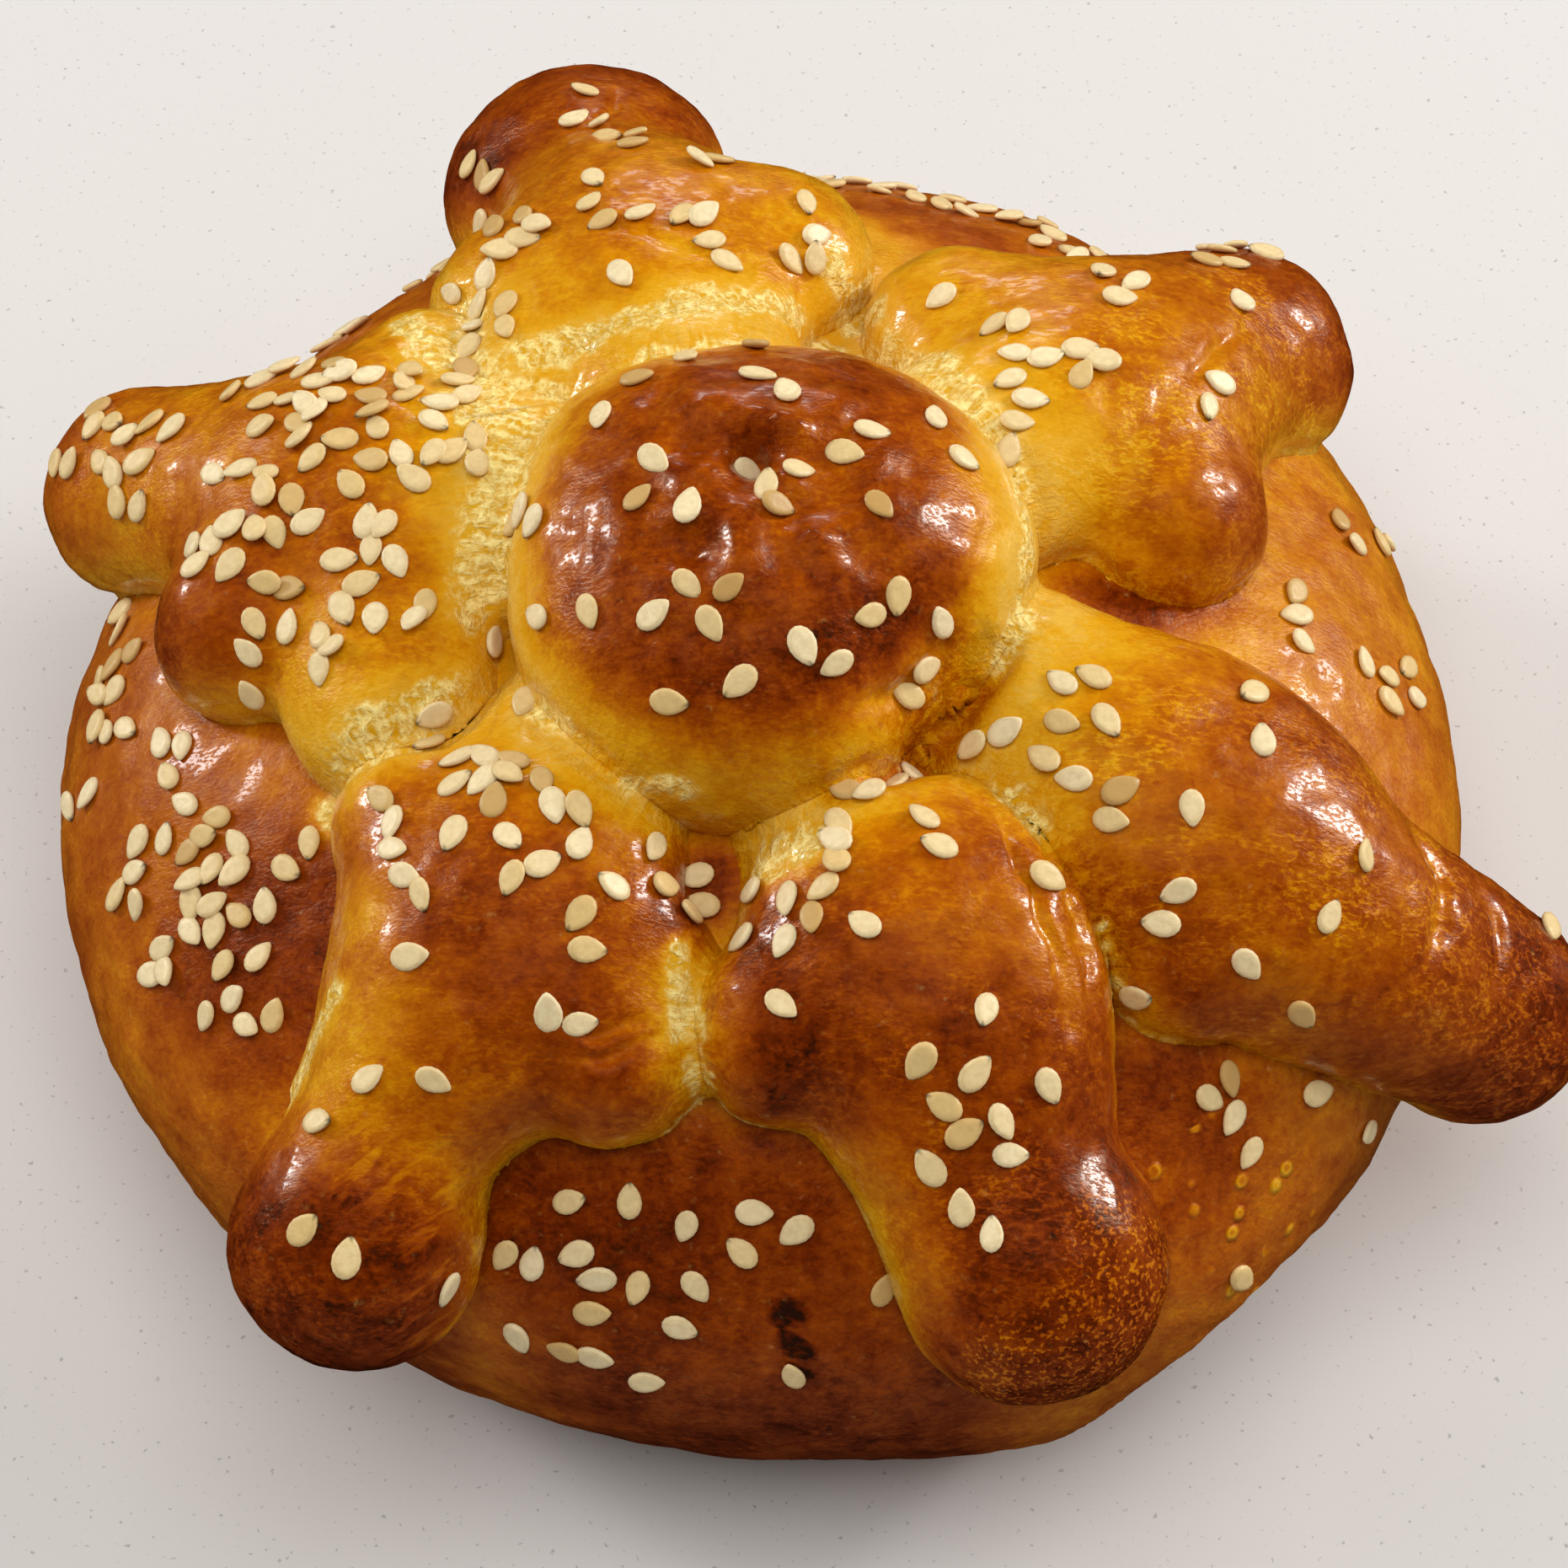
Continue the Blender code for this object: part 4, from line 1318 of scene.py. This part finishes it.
def blister_group():
    """Small round bubbles under the egg wash, from 0 between them to 1 on their tops."""
    tree, given, result = new_group("blisters", {"Amount": 0.0}, "Domes", "Rims")
    cells = tree.nodes.new("ShaderNodeTexVoronoi")
    cells.inputs["Scale"].default_value = 1 / BLISTER_SPACING
    tree.links.new(tree.nodes.new("ShaderNodeTexCoord").outputs["Object"], cells.inputs["Vector"])
    chance = tree.nodes.new("ShaderNodeSeparateColor")
    tree.links.new(cells.outputs["Color"], chance.inputs["Color"])
    dome = remap(tree, cells.outputs["Distance"], 0.18, 0.40, 1.0, 0.0)
    rim = maths(tree, "MULTIPLY", dome, remap(tree, cells.outputs["Distance"], 0.10, 0.24, 0.45, 1.0))
    chosen = remap(tree, chance.outputs["Red"], 0.3, 0.4)
    here = maths(tree, "MULTIPLY", chosen, given.outputs["Amount"])
    for label, shape in (("Domes", dome), ("Rims", rim)):
        tree.links.new(maths(tree, "MULTIPLY", shape, here), result.inputs[label])
    return tree


blisters = blister_group()
print("group:", blisters.name)

# %% Material helpers
def new_material(name):
    """A material with its node tree and its shader."""
    material = bpy.data.materials.new(name)
    material.use_nodes = True
    tree = material.node_tree
    return material, tree, tree.nodes["Principled BSDF"]


def place_group(tree, group, **given):
    """Places a group, gives it these numbers or sockets, and returns its outputs by name."""
    node = tree.nodes.new("ShaderNodeGroup")
    node.node_tree = group
    for label, value in given.items():
        if isinstance(value, float):
            node.inputs[label].default_value = value
        else:
            tree.links.new(value, node.inputs[label])
    return node.outputs


def read_mesh(tree, name, output="Fac"):
    """A value that is stored on the mesh."""
    node = tree.nodes.new("ShaderNodeAttribute")
    node.attribute_name = name
    return node.outputs[output]


print("material helpers ready")

# %% Marks and fine relief of the crust
def crust_marks(tree, rims, lines, specks):
    """The net of stretched skin, freckles, streaks and the rims of blisters, in one mask."""
    net = maths(tree, "MULTIPLY_ADD", read_mesh(tree, "netted"), 0.6 * lines, 0.4 * lines)
    skin = place_group(tree, stretched_skin, Amount=net)["Mask"]
    speckled = maths(tree, "ADD", read_mesh(tree, "freckled"), specks)
    speckle = place_group(tree, freckles, Amount=speckled)["Mask"]
    pulled = place_group(tree, streaks, Amount=read_mesh(tree, "streaked"))["Mask"]
    marks = maths(tree, "MAXIMUM", maths(tree, "MAXIMUM", skin, speckle), pulled)
    return maths(tree, "MAXIMUM", marks, maths(tree, "MULTIPLY", rims, 1.6))


def crust_height(tree, grain_height, domes, strings, drawn, torn):
    """The crust's fine relief: the egg wash's grain, blisters, and strings near seams and tears."""
    pulled = maths(tree, "MAXIMUM", maths(tree, "MULTIPLY", drawn, 0.6), torn)
    rise = maths(tree, "MULTIPLY", maths(tree, "MULTIPLY", strings, pulled), 1.2)
    height = maths(tree, "ADD", grain_height, rise)
    return maths(tree, "ADD", height, maths(tree, "MULTIPLY", domes, 3.0))


print("crust marks and relief ready")

# %% Dough materials
SHEEN = 0.35
SHEEN_TINT = (1.0, 0.72, 0.42, 1.0)
COAT_ROUGHNESS = 0.12
CRUMB_ROUGHNESS = 0.42
MARKS_PALER = 0.30
STRINGS_PALER = 0.24


def crust_material(name, mottling, lines, specks, grain_depth, gloss, coat):
    """A dough material: the shared groups with this crust's own values."""
    material, tree, shader = new_material(name)
    torn, drawn = read_mesh(tree, "torn"), read_mesh(tree, "drawn")
    bubbles = place_group(tree, blisters, Amount=read_mesh(tree, "blistered"))
    foot = read_mesh(tree, "seam_foot", "Vector")
    strings = place_group(tree, drawn_strings, Foot=foot)["Strings"]
    near_strings = maths(tree, "MULTIPLY", maths(tree, "SUBTRACT", strings, 0.4), drawn)
    marks = maths(tree, "MULTIPLY", crust_marks(tree, bubbles["Rims"], lines, specks), MARKS_PALER)
    paler = maths(tree, "ADD", marks, maths(tree, "MULTIPLY", near_strings, STRINGS_PALER))
    bake = maths(tree, "SUBTRACT", read_mesh(tree, "bake"), paler)
    colour = place_group(tree, crust_colour, Bake=bake, Torn=torn, Strings=strings, Mottling=mottling)
    tree.links.new(colour["Colour"], shader.inputs["Base Color"])
    shader.inputs["Specular IOR Level"].default_value = SHEEN
    shader.inputs["Specular Tint"].default_value = SHEEN_TINT
    shader.inputs["Coat Roughness"].default_value = COAT_ROUGHNESS
    tree.links.new(remap(tree, torn, 0.0, 0.8, gloss, CRUMB_ROUGHNESS), shader.inputs["Roughness"])
    wash = place_group(tree, egg_wash)
    tree.links.new(maths(tree, "MULTIPLY", wash["Gloss"], coat), shader.inputs["Coat Weight"])
    height = crust_height(tree, wash["Height"], bubbles["Domes"], strings, drawn, torn)
    tree.links.new(bump_normal(tree, height, grain_depth), shader.inputs["Normal"])
    return material


# Each crust: mottling, lines of stretched skin, freckles, depth of its grain, roughness and coat.
CRUSTS = {
    "loaf": ("loaf_crust", 0.38, 0.45, 0.10, 0.09 * MM, 0.38, 0.5),
    "knob": ("knob_crust", 0.46, 0.45, 0.16, 0.08 * MM, 0.30, 0.7),
    "strips": ("strip_crust", 0.44, 0.85, 0.06, 0.09 * MM, 0.32, 0.75),
}
crust_materials = {kind: crust_material(*values) for kind, values in CRUSTS.items()}
for name, piece in dough_pieces.items():
    kind = name if name in CRUSTS else "strips"
    piece.data.materials.clear()
    piece.data.materials.append(crust_materials[kind])
    piece.data.shade_smooth()
    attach(piece, "root")
    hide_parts(name)
print("dough dressed")

# %% [markdown]
# Sesame seeds
#
# A hulled sesame seed is a flat teardrop three millimetres long, with a soft raised rim round a
# slightly sunken middle. One seed is modelled from a ball with its rings lying flat, so that the
# rings follow the rim. It is then copied for every seed that was strewn, and all the copies
# are joined into one piece.

# %% Model one seed
SEED_LENGTH = 2.8 * MM
SEED_WIDTH = 1.95 * MM
SEED_THICKNESS = 0.8 * MM
SEED_SUNK = 0.12 * MM
SEED_RINGS = 8
SEED_SIDES = 16

# The seed's outline and section, as shares of its half sizes: how broad its round end is and how
# much it narrows, how far its point stands out, how blunt its edge is, how much thinner it is at
# the point, and how deep and wide its hollow is.
SEED_BREADTH = 1.04
SEED_TAPER = 0.45
SEED_POINT = 0.06
SEED_SHIFT = 0.02
SEED_BLUNTNESS = 0.75
SEED_THINNING = 0.25
SEED_HOLLOW = 0.30
SEED_HOLLOW_REACH = 0.62
DARK_TIP = (0.86, 0.99)

bpy.ops.object.select_all(action="DESELECT")
bpy.ops.mesh.primitive_uv_sphere_add(segments=SEED_SIDES, ring_count=SEED_RINGS, radius=0.5)
seed_pattern = bpy.context.object
rims = []
for vertex in seed_pattern.data.vertices:
    x, y, z = vertex.co * 2
    reach = math.hypot(x, y)
    along = (x + 1) / 2
    width = SEED_BREADTH - SEED_TAPER * along**3
    flat = math.copysign(abs(z) ** SEED_BLUNTNESS, z)
    hollow = SEED_HOLLOW * math.exp(-((reach / SEED_HOLLOW_REACH) ** 4)) if z > 0 else 0.0
    vertex.co = (
        (x * (1 + SEED_POINT * along**6) - SEED_SHIFT) * SEED_LENGTH / 2,
        y * width * SEED_WIDTH / 2,
        (flat * (1 - SEED_THINNING * along) - hollow) * SEED_THICKNESS / 2,
    )
    rims.append(min(1.0, reach**3))
store(seed_pattern, "rim", rims)
lengthwise = points_of(seed_pattern)[:, 0] / (SEED_LENGTH / 2)
store(seed_pattern, "tip", smooth_step(*DARK_TIP, lengthwise))
print("one seed:", count_triangles(seed_pattern), "triangles")

# %% Where the handfuls fell
# Each handful: millimetres to the right and to the back, how far it spread, and its seeds. Where
# only a place is given, one seed fell alone and close to it.
ALONE = (0.3, 1)
HANDFULS = (
    (0, 8.5), (2, 6), (-7.5, 0.5), (-8.3, -2.7), (-4.7, -4.3), (-0.6, 1), (0.8, -2), (3, -1.2),
    (1.3, -4.5), (6.5, 0.7), (8.4, 2.8), (13, 6), (15, 2.5), (8.7, -4), (9.7, -9.5), (12.6, -9),
    (8, -11.3), (12.3, -11.5), (10.6, -13.5), (5.7, -14.5), (3.1, -14), (-1.2, -16.5), (-6, -17),
    (-3.4, -12.5), (-1.7, -10.3), (-4.5, -10.2), (-7, -11.5), (-11.5, -10), (-15.5, -8.5), (-15.8, -1),
    (-11, 6), (-8.7, 9.5), (-5.2, 12), (0, 14), (-16.5, -12), (-17, 2, 0.8, 2), (-12, 48, 3.4, 4),
    (-11, 43, 2.0, 2), (-22, 44, 2.0, 2), (-13, 35, 2.0, 2), (-10, 30, 2.0, 2), (-5.5, 30.5, 1.5, 2),
    (-18, 31, 2.4, 5), (-22, 28, 2.0, 3), (-20, 23, 2.2, 4), (-10, 24, 1.0, 1), (-3, 27, 1.5, 2),
    (4, 34, 1.0, 1), (3, 29, 2.2, 3), (-4, 38, 1.8, 2), (11, 50, 2.6, 4), (16, 49, 2.6, 4),
    (22, 47, 2.6, 4), (28, 44, 3.0, 4), (-34, 38, 4.0, 4), (-42, 30, 4.0, 4), (5, 54, 5.0, 6),
    (38, 36, 4.0, 6), (-26, 47, 4.0, 5), (23, 43, 1.5, 1), (27, 26, 2.2, 3), (15, 25, 1.5, 2),
    (17.5, 20.5, 1.5, 2), (20, 16.5, 1.9, 3), (24, 15, 1.9, 3), (20, 10, 2.2, 3), (34, 17, 2.0, 2),
    (36, 27, 2.0, 1), (15.5, -15.5), (17.8, -15.3), (20.3, -17.5), (21.8, -15.5), (24.7, -15.5),
    (22.5, -19.5), (25.6, -20.2), (25.2, -22.3), (22, -12.5), (24, -11.5), (11, -16.5), (10, -18.2),
    (30.7, -21.7), (29.8, -26.8), (28.4, -28.6), (40.8, -27.3), (43.3, -22.5), (27, -32), (34.6, -30.5),
    (38.8, -32.3), (41, -33.3), (45.4, -33), (34, -34.5), (32.5, -35.8), (34.5, -36.8), (35.5, -38.3),
    (36, -11, 1.2, 1), (36, -15, 1.0, 1), (60, -20, 0.8, 1), (6, -20.5), (8, -21), (6, -23.8), (5.5, -25),
    (11.8, -23.5), (12.6, -26.2), (5.8, -26.8), (-0.5, -26.5), (4.7, -28.6), (2.4, -28.6), (4, -31),
    (1.9, -32.2), (7.6, -32), (-1, -30.5), (1.8, -36.3), (16, -37.3), (20, -27), (11.3, -40.5), (15, -41),
    (20, -41), (12.9, -43), (14.4, -44.3), (16.8, -43.6), (17.6, -45.5), (11.9, -46.2), (14.4, -48.6),
    (16.3, -50.3), (8.8, -49.5), (-6.5, -26.5), (-7, -24), (-4.5, -23.5), (-4, -25.5), (-4.5, -27.5),
    (-23.5, -12), (-23.5, -14.3), (-21, -17), (-19, -17.5), (-17.3, -18), (-26.5, -19.5), (-21, -19.6),
    (-19.3, -19.9), (-17.2, -19.8), (-18.5, -21.8), (-15, -20.3), (-14, -22.2), (-12.4, -22.9),
    (-12.5, -25), (-17, -25), (-15, -26.7), (-17, -28.2), (-21, -24.2), (-23, -28.5), (-24.5, -26.7),
    (-25.5, -24), (-25.5, -22), (-24, -32.5), (-10, -27.8), (-12, -30.2), (-11.5, -32.3), (-14, -36.3),
    (-12, -36.7), (-22, -39.7), (-27, -39.6), (-30.5, -41.5), (-31, -48.7), (-28.5, -50.7),
    (-21.5, -50.7), (-53, 20, 2.8, 5), (-49, 16, 3.2, 6), (-50, 11, 2.6, 4), (-38, 19, 2.0, 3),
    (-33, 18, 2.8, 5), (-34, 13, 2.8, 7), (-29, 14, 3.2, 7), (-24, 14.5, 2.4, 5), (-38, 8.5, 2.4, 4),
    (-30, 8, 2.8, 7), (-23, 9.5, 2.4, 5), (-40, 3, 2.4, 5), (-35, 3, 2.4, 5), (-35, -2.5, 2.4, 4),
    (-31, -4, 2.8, 4), (-29, 1, 2.8, 5), (-25, -5, 1.8, 2), (-37, -7, 1.5, 2), (-31, -8.5, 1.8, 2),
    (-20, -5, 0.8, 1), (-50, 3, 2.2, 5), (-49.5, -2.5, 1.8, 3), (-44.5, -7, 1.7, 3), (-42, -13, 1.9, 4),
    (-47, -14, 1.8, 2), (-40, -16, 2.2, 4), (-34, -18.5, 1.8, 2), (-40, -20, 2.6, 5), (-46, -17, 1.8, 2),
    (-37, -24, 2.2, 4), (-45, -23, 2.0, 3), (-38, -27, 2.2, 4), (-36, -30, 0.8, 1), (-53, -6, 1.4, 2),
    (-13.4, -44), (-8.8, -44.4), (-5, -46), (-0.2, -45.5), (-1, -47.3), (2.6, -46.6), (-12.7, -47),
    (-11.1, -48.4), (-8.5, -49), (-4, -49.2), (-11.6, -50.2), (-5.3, -51.2), (-13.9, -51.5),
    (-11.3, -51.8), (-12.5, -53.8), (-7.9, -53.3), (2.8, -53.5), (-17.2, -50), (-18, -46.2), (-16, -47),
    (46, 16, 1.5, 2), (50, 18, 1.8, 2), (41, 4, 1.7, 3), (48.5, 1, 2.6, 4), (51, 4, 0.8, 1),
    (36, -45, 0.8, 1),
)
print(len(HANDFULS), "handfuls and single seeds")

# %% Let the seeds fall
SEED_TRIES = 30
SEED_GAP = 2.1 * MM
STACKED_GAP = 1.4 * MM
STACK_CHANCE = 0.2
STACK_LIFT = 0.6 * MM
STEEPEST = 0.22
EDGE_CHANCE = 0.05
WOBBLE = math.radians(7.0)
SEED_BEND_LIMIT = 0.55 * MM
STACKED_LEAN = 2.5
ON_EDGE_ANGLES = (50, 75)
SEED_SCALES = (0.9, 1.08)
LATEST_SEEDS = 60
SEED_EDGES = ((0.45, 0), (-0.45, 0), (0, 0.45), (0, -0.45))

dough_trees = {name: surface_tree(piece) for name, piece in dough_pieces.items()}


def seed_lies(matrix):
    """Whether the dough runs close under the seed all round, and not in a cleft."""
    for x, y in SEED_EDGES:
        edge = matrix @ Vector((x * SEED_LENGTH, y * SEED_WIDTH, 0))
        if min(tree.find_nearest(edge)[3] for tree in dough_trees.values()) > SEED_BEND_LIMIT:
            return False
    return True


def seed_seat(draw, middle, spread, lying):
    """Where one seed of a handful comes to lie, as a matrix, or None if it found no room."""
    for _ in range(SEED_TRIES):
        found = drop(middle[0] + draw.gauss(0, spread / 2), middle[1] + draw.gauss(0, spread / 2))
        if found is None or found[2].z < STEEPEST:
            continue
        _, place, normal = found
        gaps = sorted((place - other.translation).length for other in lying[-LATEST_SEEDS:])
        stacked = bool(gaps) and gaps[0] < SEED_GAP
        if stacked and (gaps[0] < STACKED_GAP or draw.random() > STACK_CHANCE):
            continue
        lift = STACK_LIFT if stacked else SEED_THICKNESS / 2 - SEED_SUNK
        turn = normal.to_track_quat("Z", "Y").to_matrix().to_4x4()
        turn = turn @ Matrix.Rotation(draw.uniform(0, math.tau), 4, "Z")
        lean = WOBBLE * (STACKED_LEAN if stacked else 1.0)
        for axis in "XY":
            turn = turn @ Matrix.Rotation(draw.gauss(0, lean), 4, axis)
        if draw.random() < EDGE_CHANCE:
            turn = turn @ Matrix.Rotation(math.radians(draw.uniform(*ON_EDGE_ANGLES)), 4, "X")
        scale = Matrix.Scale(draw.uniform(*SEED_SCALES), 4)
        if seed_lies(Matrix.Translation(place) @ turn):
            return Matrix.Translation(place + normal * lift) @ turn @ scale
    return None


seats = []
for number, (right, back, *more) in enumerate(HANDFULS):
    spread, count = more or ALONE
    draw = random.Random(number)
    for _ in range(count):
        seat = seed_seat(draw, (right * MM, back * MM), spread * MM, seats)
        if seat:
            seats.append(seat)
print(len(seats), "seeds lie on the bun")

# %% Copy the seed to its places
TONE_SEED = 5
DARK_TIP_CHANCE = 0.4

seeds = []
draw = random.Random(TONE_SEED)
for seat in seats:
    grain_of_sesame = new_copy(seed_pattern, "seed")
    grain_of_sesame.data.transform(seat)
    count = len(grain_of_sesame.data.vertices)
    store(grain_of_sesame, "tone", [draw.random()] * count)
    store(grain_of_sesame, "dark_tip", [float(draw.random() < DARK_TIP_CHANCE)] * count)
    seeds.append(grain_of_sesame)
choose(*seeds)
bpy.ops.object.join()
sesame = bpy.context.object
sesame.name = "sesame_seeds"
bpy.data.objects.remove(seed_pattern)
print("sesame:", count_triangles(sesame), "triangles")

# %% [markdown]
# Sesame finish
#
# Hulled sesame is ivory and nearly matt. A ring between its rim and its middle is painted darker,
# as painted shade in its groove; its point is often brown, and no two seeds have quite the same
# tone, because some toasted more.

# %% Sesame material
SESAME_TONES = (
    (0.00, tone(190, 148, 84)),
    (0.12, tone(222, 190, 126)),
    (0.45, tone(231, 206, 152)),
    (1.00, tone(240, 222, 178)),
)
GROOVE_SHADE_TONE = tone(196, 158, 92)
TOASTED_TONE = tone(178, 142, 86)
TIP_TONE = tone(52, 32, 18)


def sesame_material():
    """Ivory seeds of different tones, with painted shade in the groove round the middle and now and then a
    brown tip.
    """
    material, tree, shader = new_material("sesame")
    ivory = colour_ramp(tree, read_mesh(tree, "tone"), SESAME_TONES)
    rim = read_mesh(tree, "rim")
    # A ring inside the rim is darkened towards the groove tone, as painted shade in the groove.
    groove = maths(tree, "MULTIPLY", remap(tree, rim, 0.25, 0.5), remap(tree, rim, 0.6, 0.8, 0.20, 0.0))
    middle = mix_colours(tree, groove, ivory, GROOVE_SHADE_TONE)
    fine = remap(tree, grain(tree, 0.5 * MM, detail=3.0), 0.3, 0.7, 0.0, 0.22)
    uneven = mix_colours(tree, fine, middle, TOASTED_TONE)
    tip = maths(tree, "MULTIPLY", read_mesh(tree, "tip"), read_mesh(tree, "dark_tip"))
    tree.links.new(mix_colours(tree, tip, uneven, TIP_TONE), shader.inputs["Base Color"])
    shader.inputs["Roughness"].default_value = 0.42
    relief = grain(tree, 0.35 * MM)
    tree.links.new(bump_normal(tree, relief, 0.03 * MM), shader.inputs["Normal"])
    return material


sesame.data.materials.clear()
sesame.data.materials.append(sesame_material())
sesame.data.shade_smooth()
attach(sesame, "root")
print("sesame dressed with", len(sesame.data.materials), "material")

# %% [markdown]
# The table
#
# A pale, faintly speckled board, wide enough to fill the view.

# %% Floor
bpy.ops.object.select_all(action="DESELECT")
bpy.ops.mesh.primitive_plane_add(size=6.0)
floor = bpy.context.object
floor.name = "floor"


def floor_material():
    """A pale matt board with small grey specks."""
    material, tree, shader = new_material("pale_board")
    specks = remap(tree, grain(tree, 0.6 * MM), 0.66, 0.74)
    board = mix_colours(tree, specks, tone(212, 208, 204), tone(176, 172, 168))
    tree.links.new(board, shader.inputs["Base Color"])
    shader.inputs["Roughness"].default_value = 0.7
    return material


floor.data.materials.append(floor_material())
floor.visible_glossy = False
print("floor of", round(floor.dimensions.x, 1), "m")
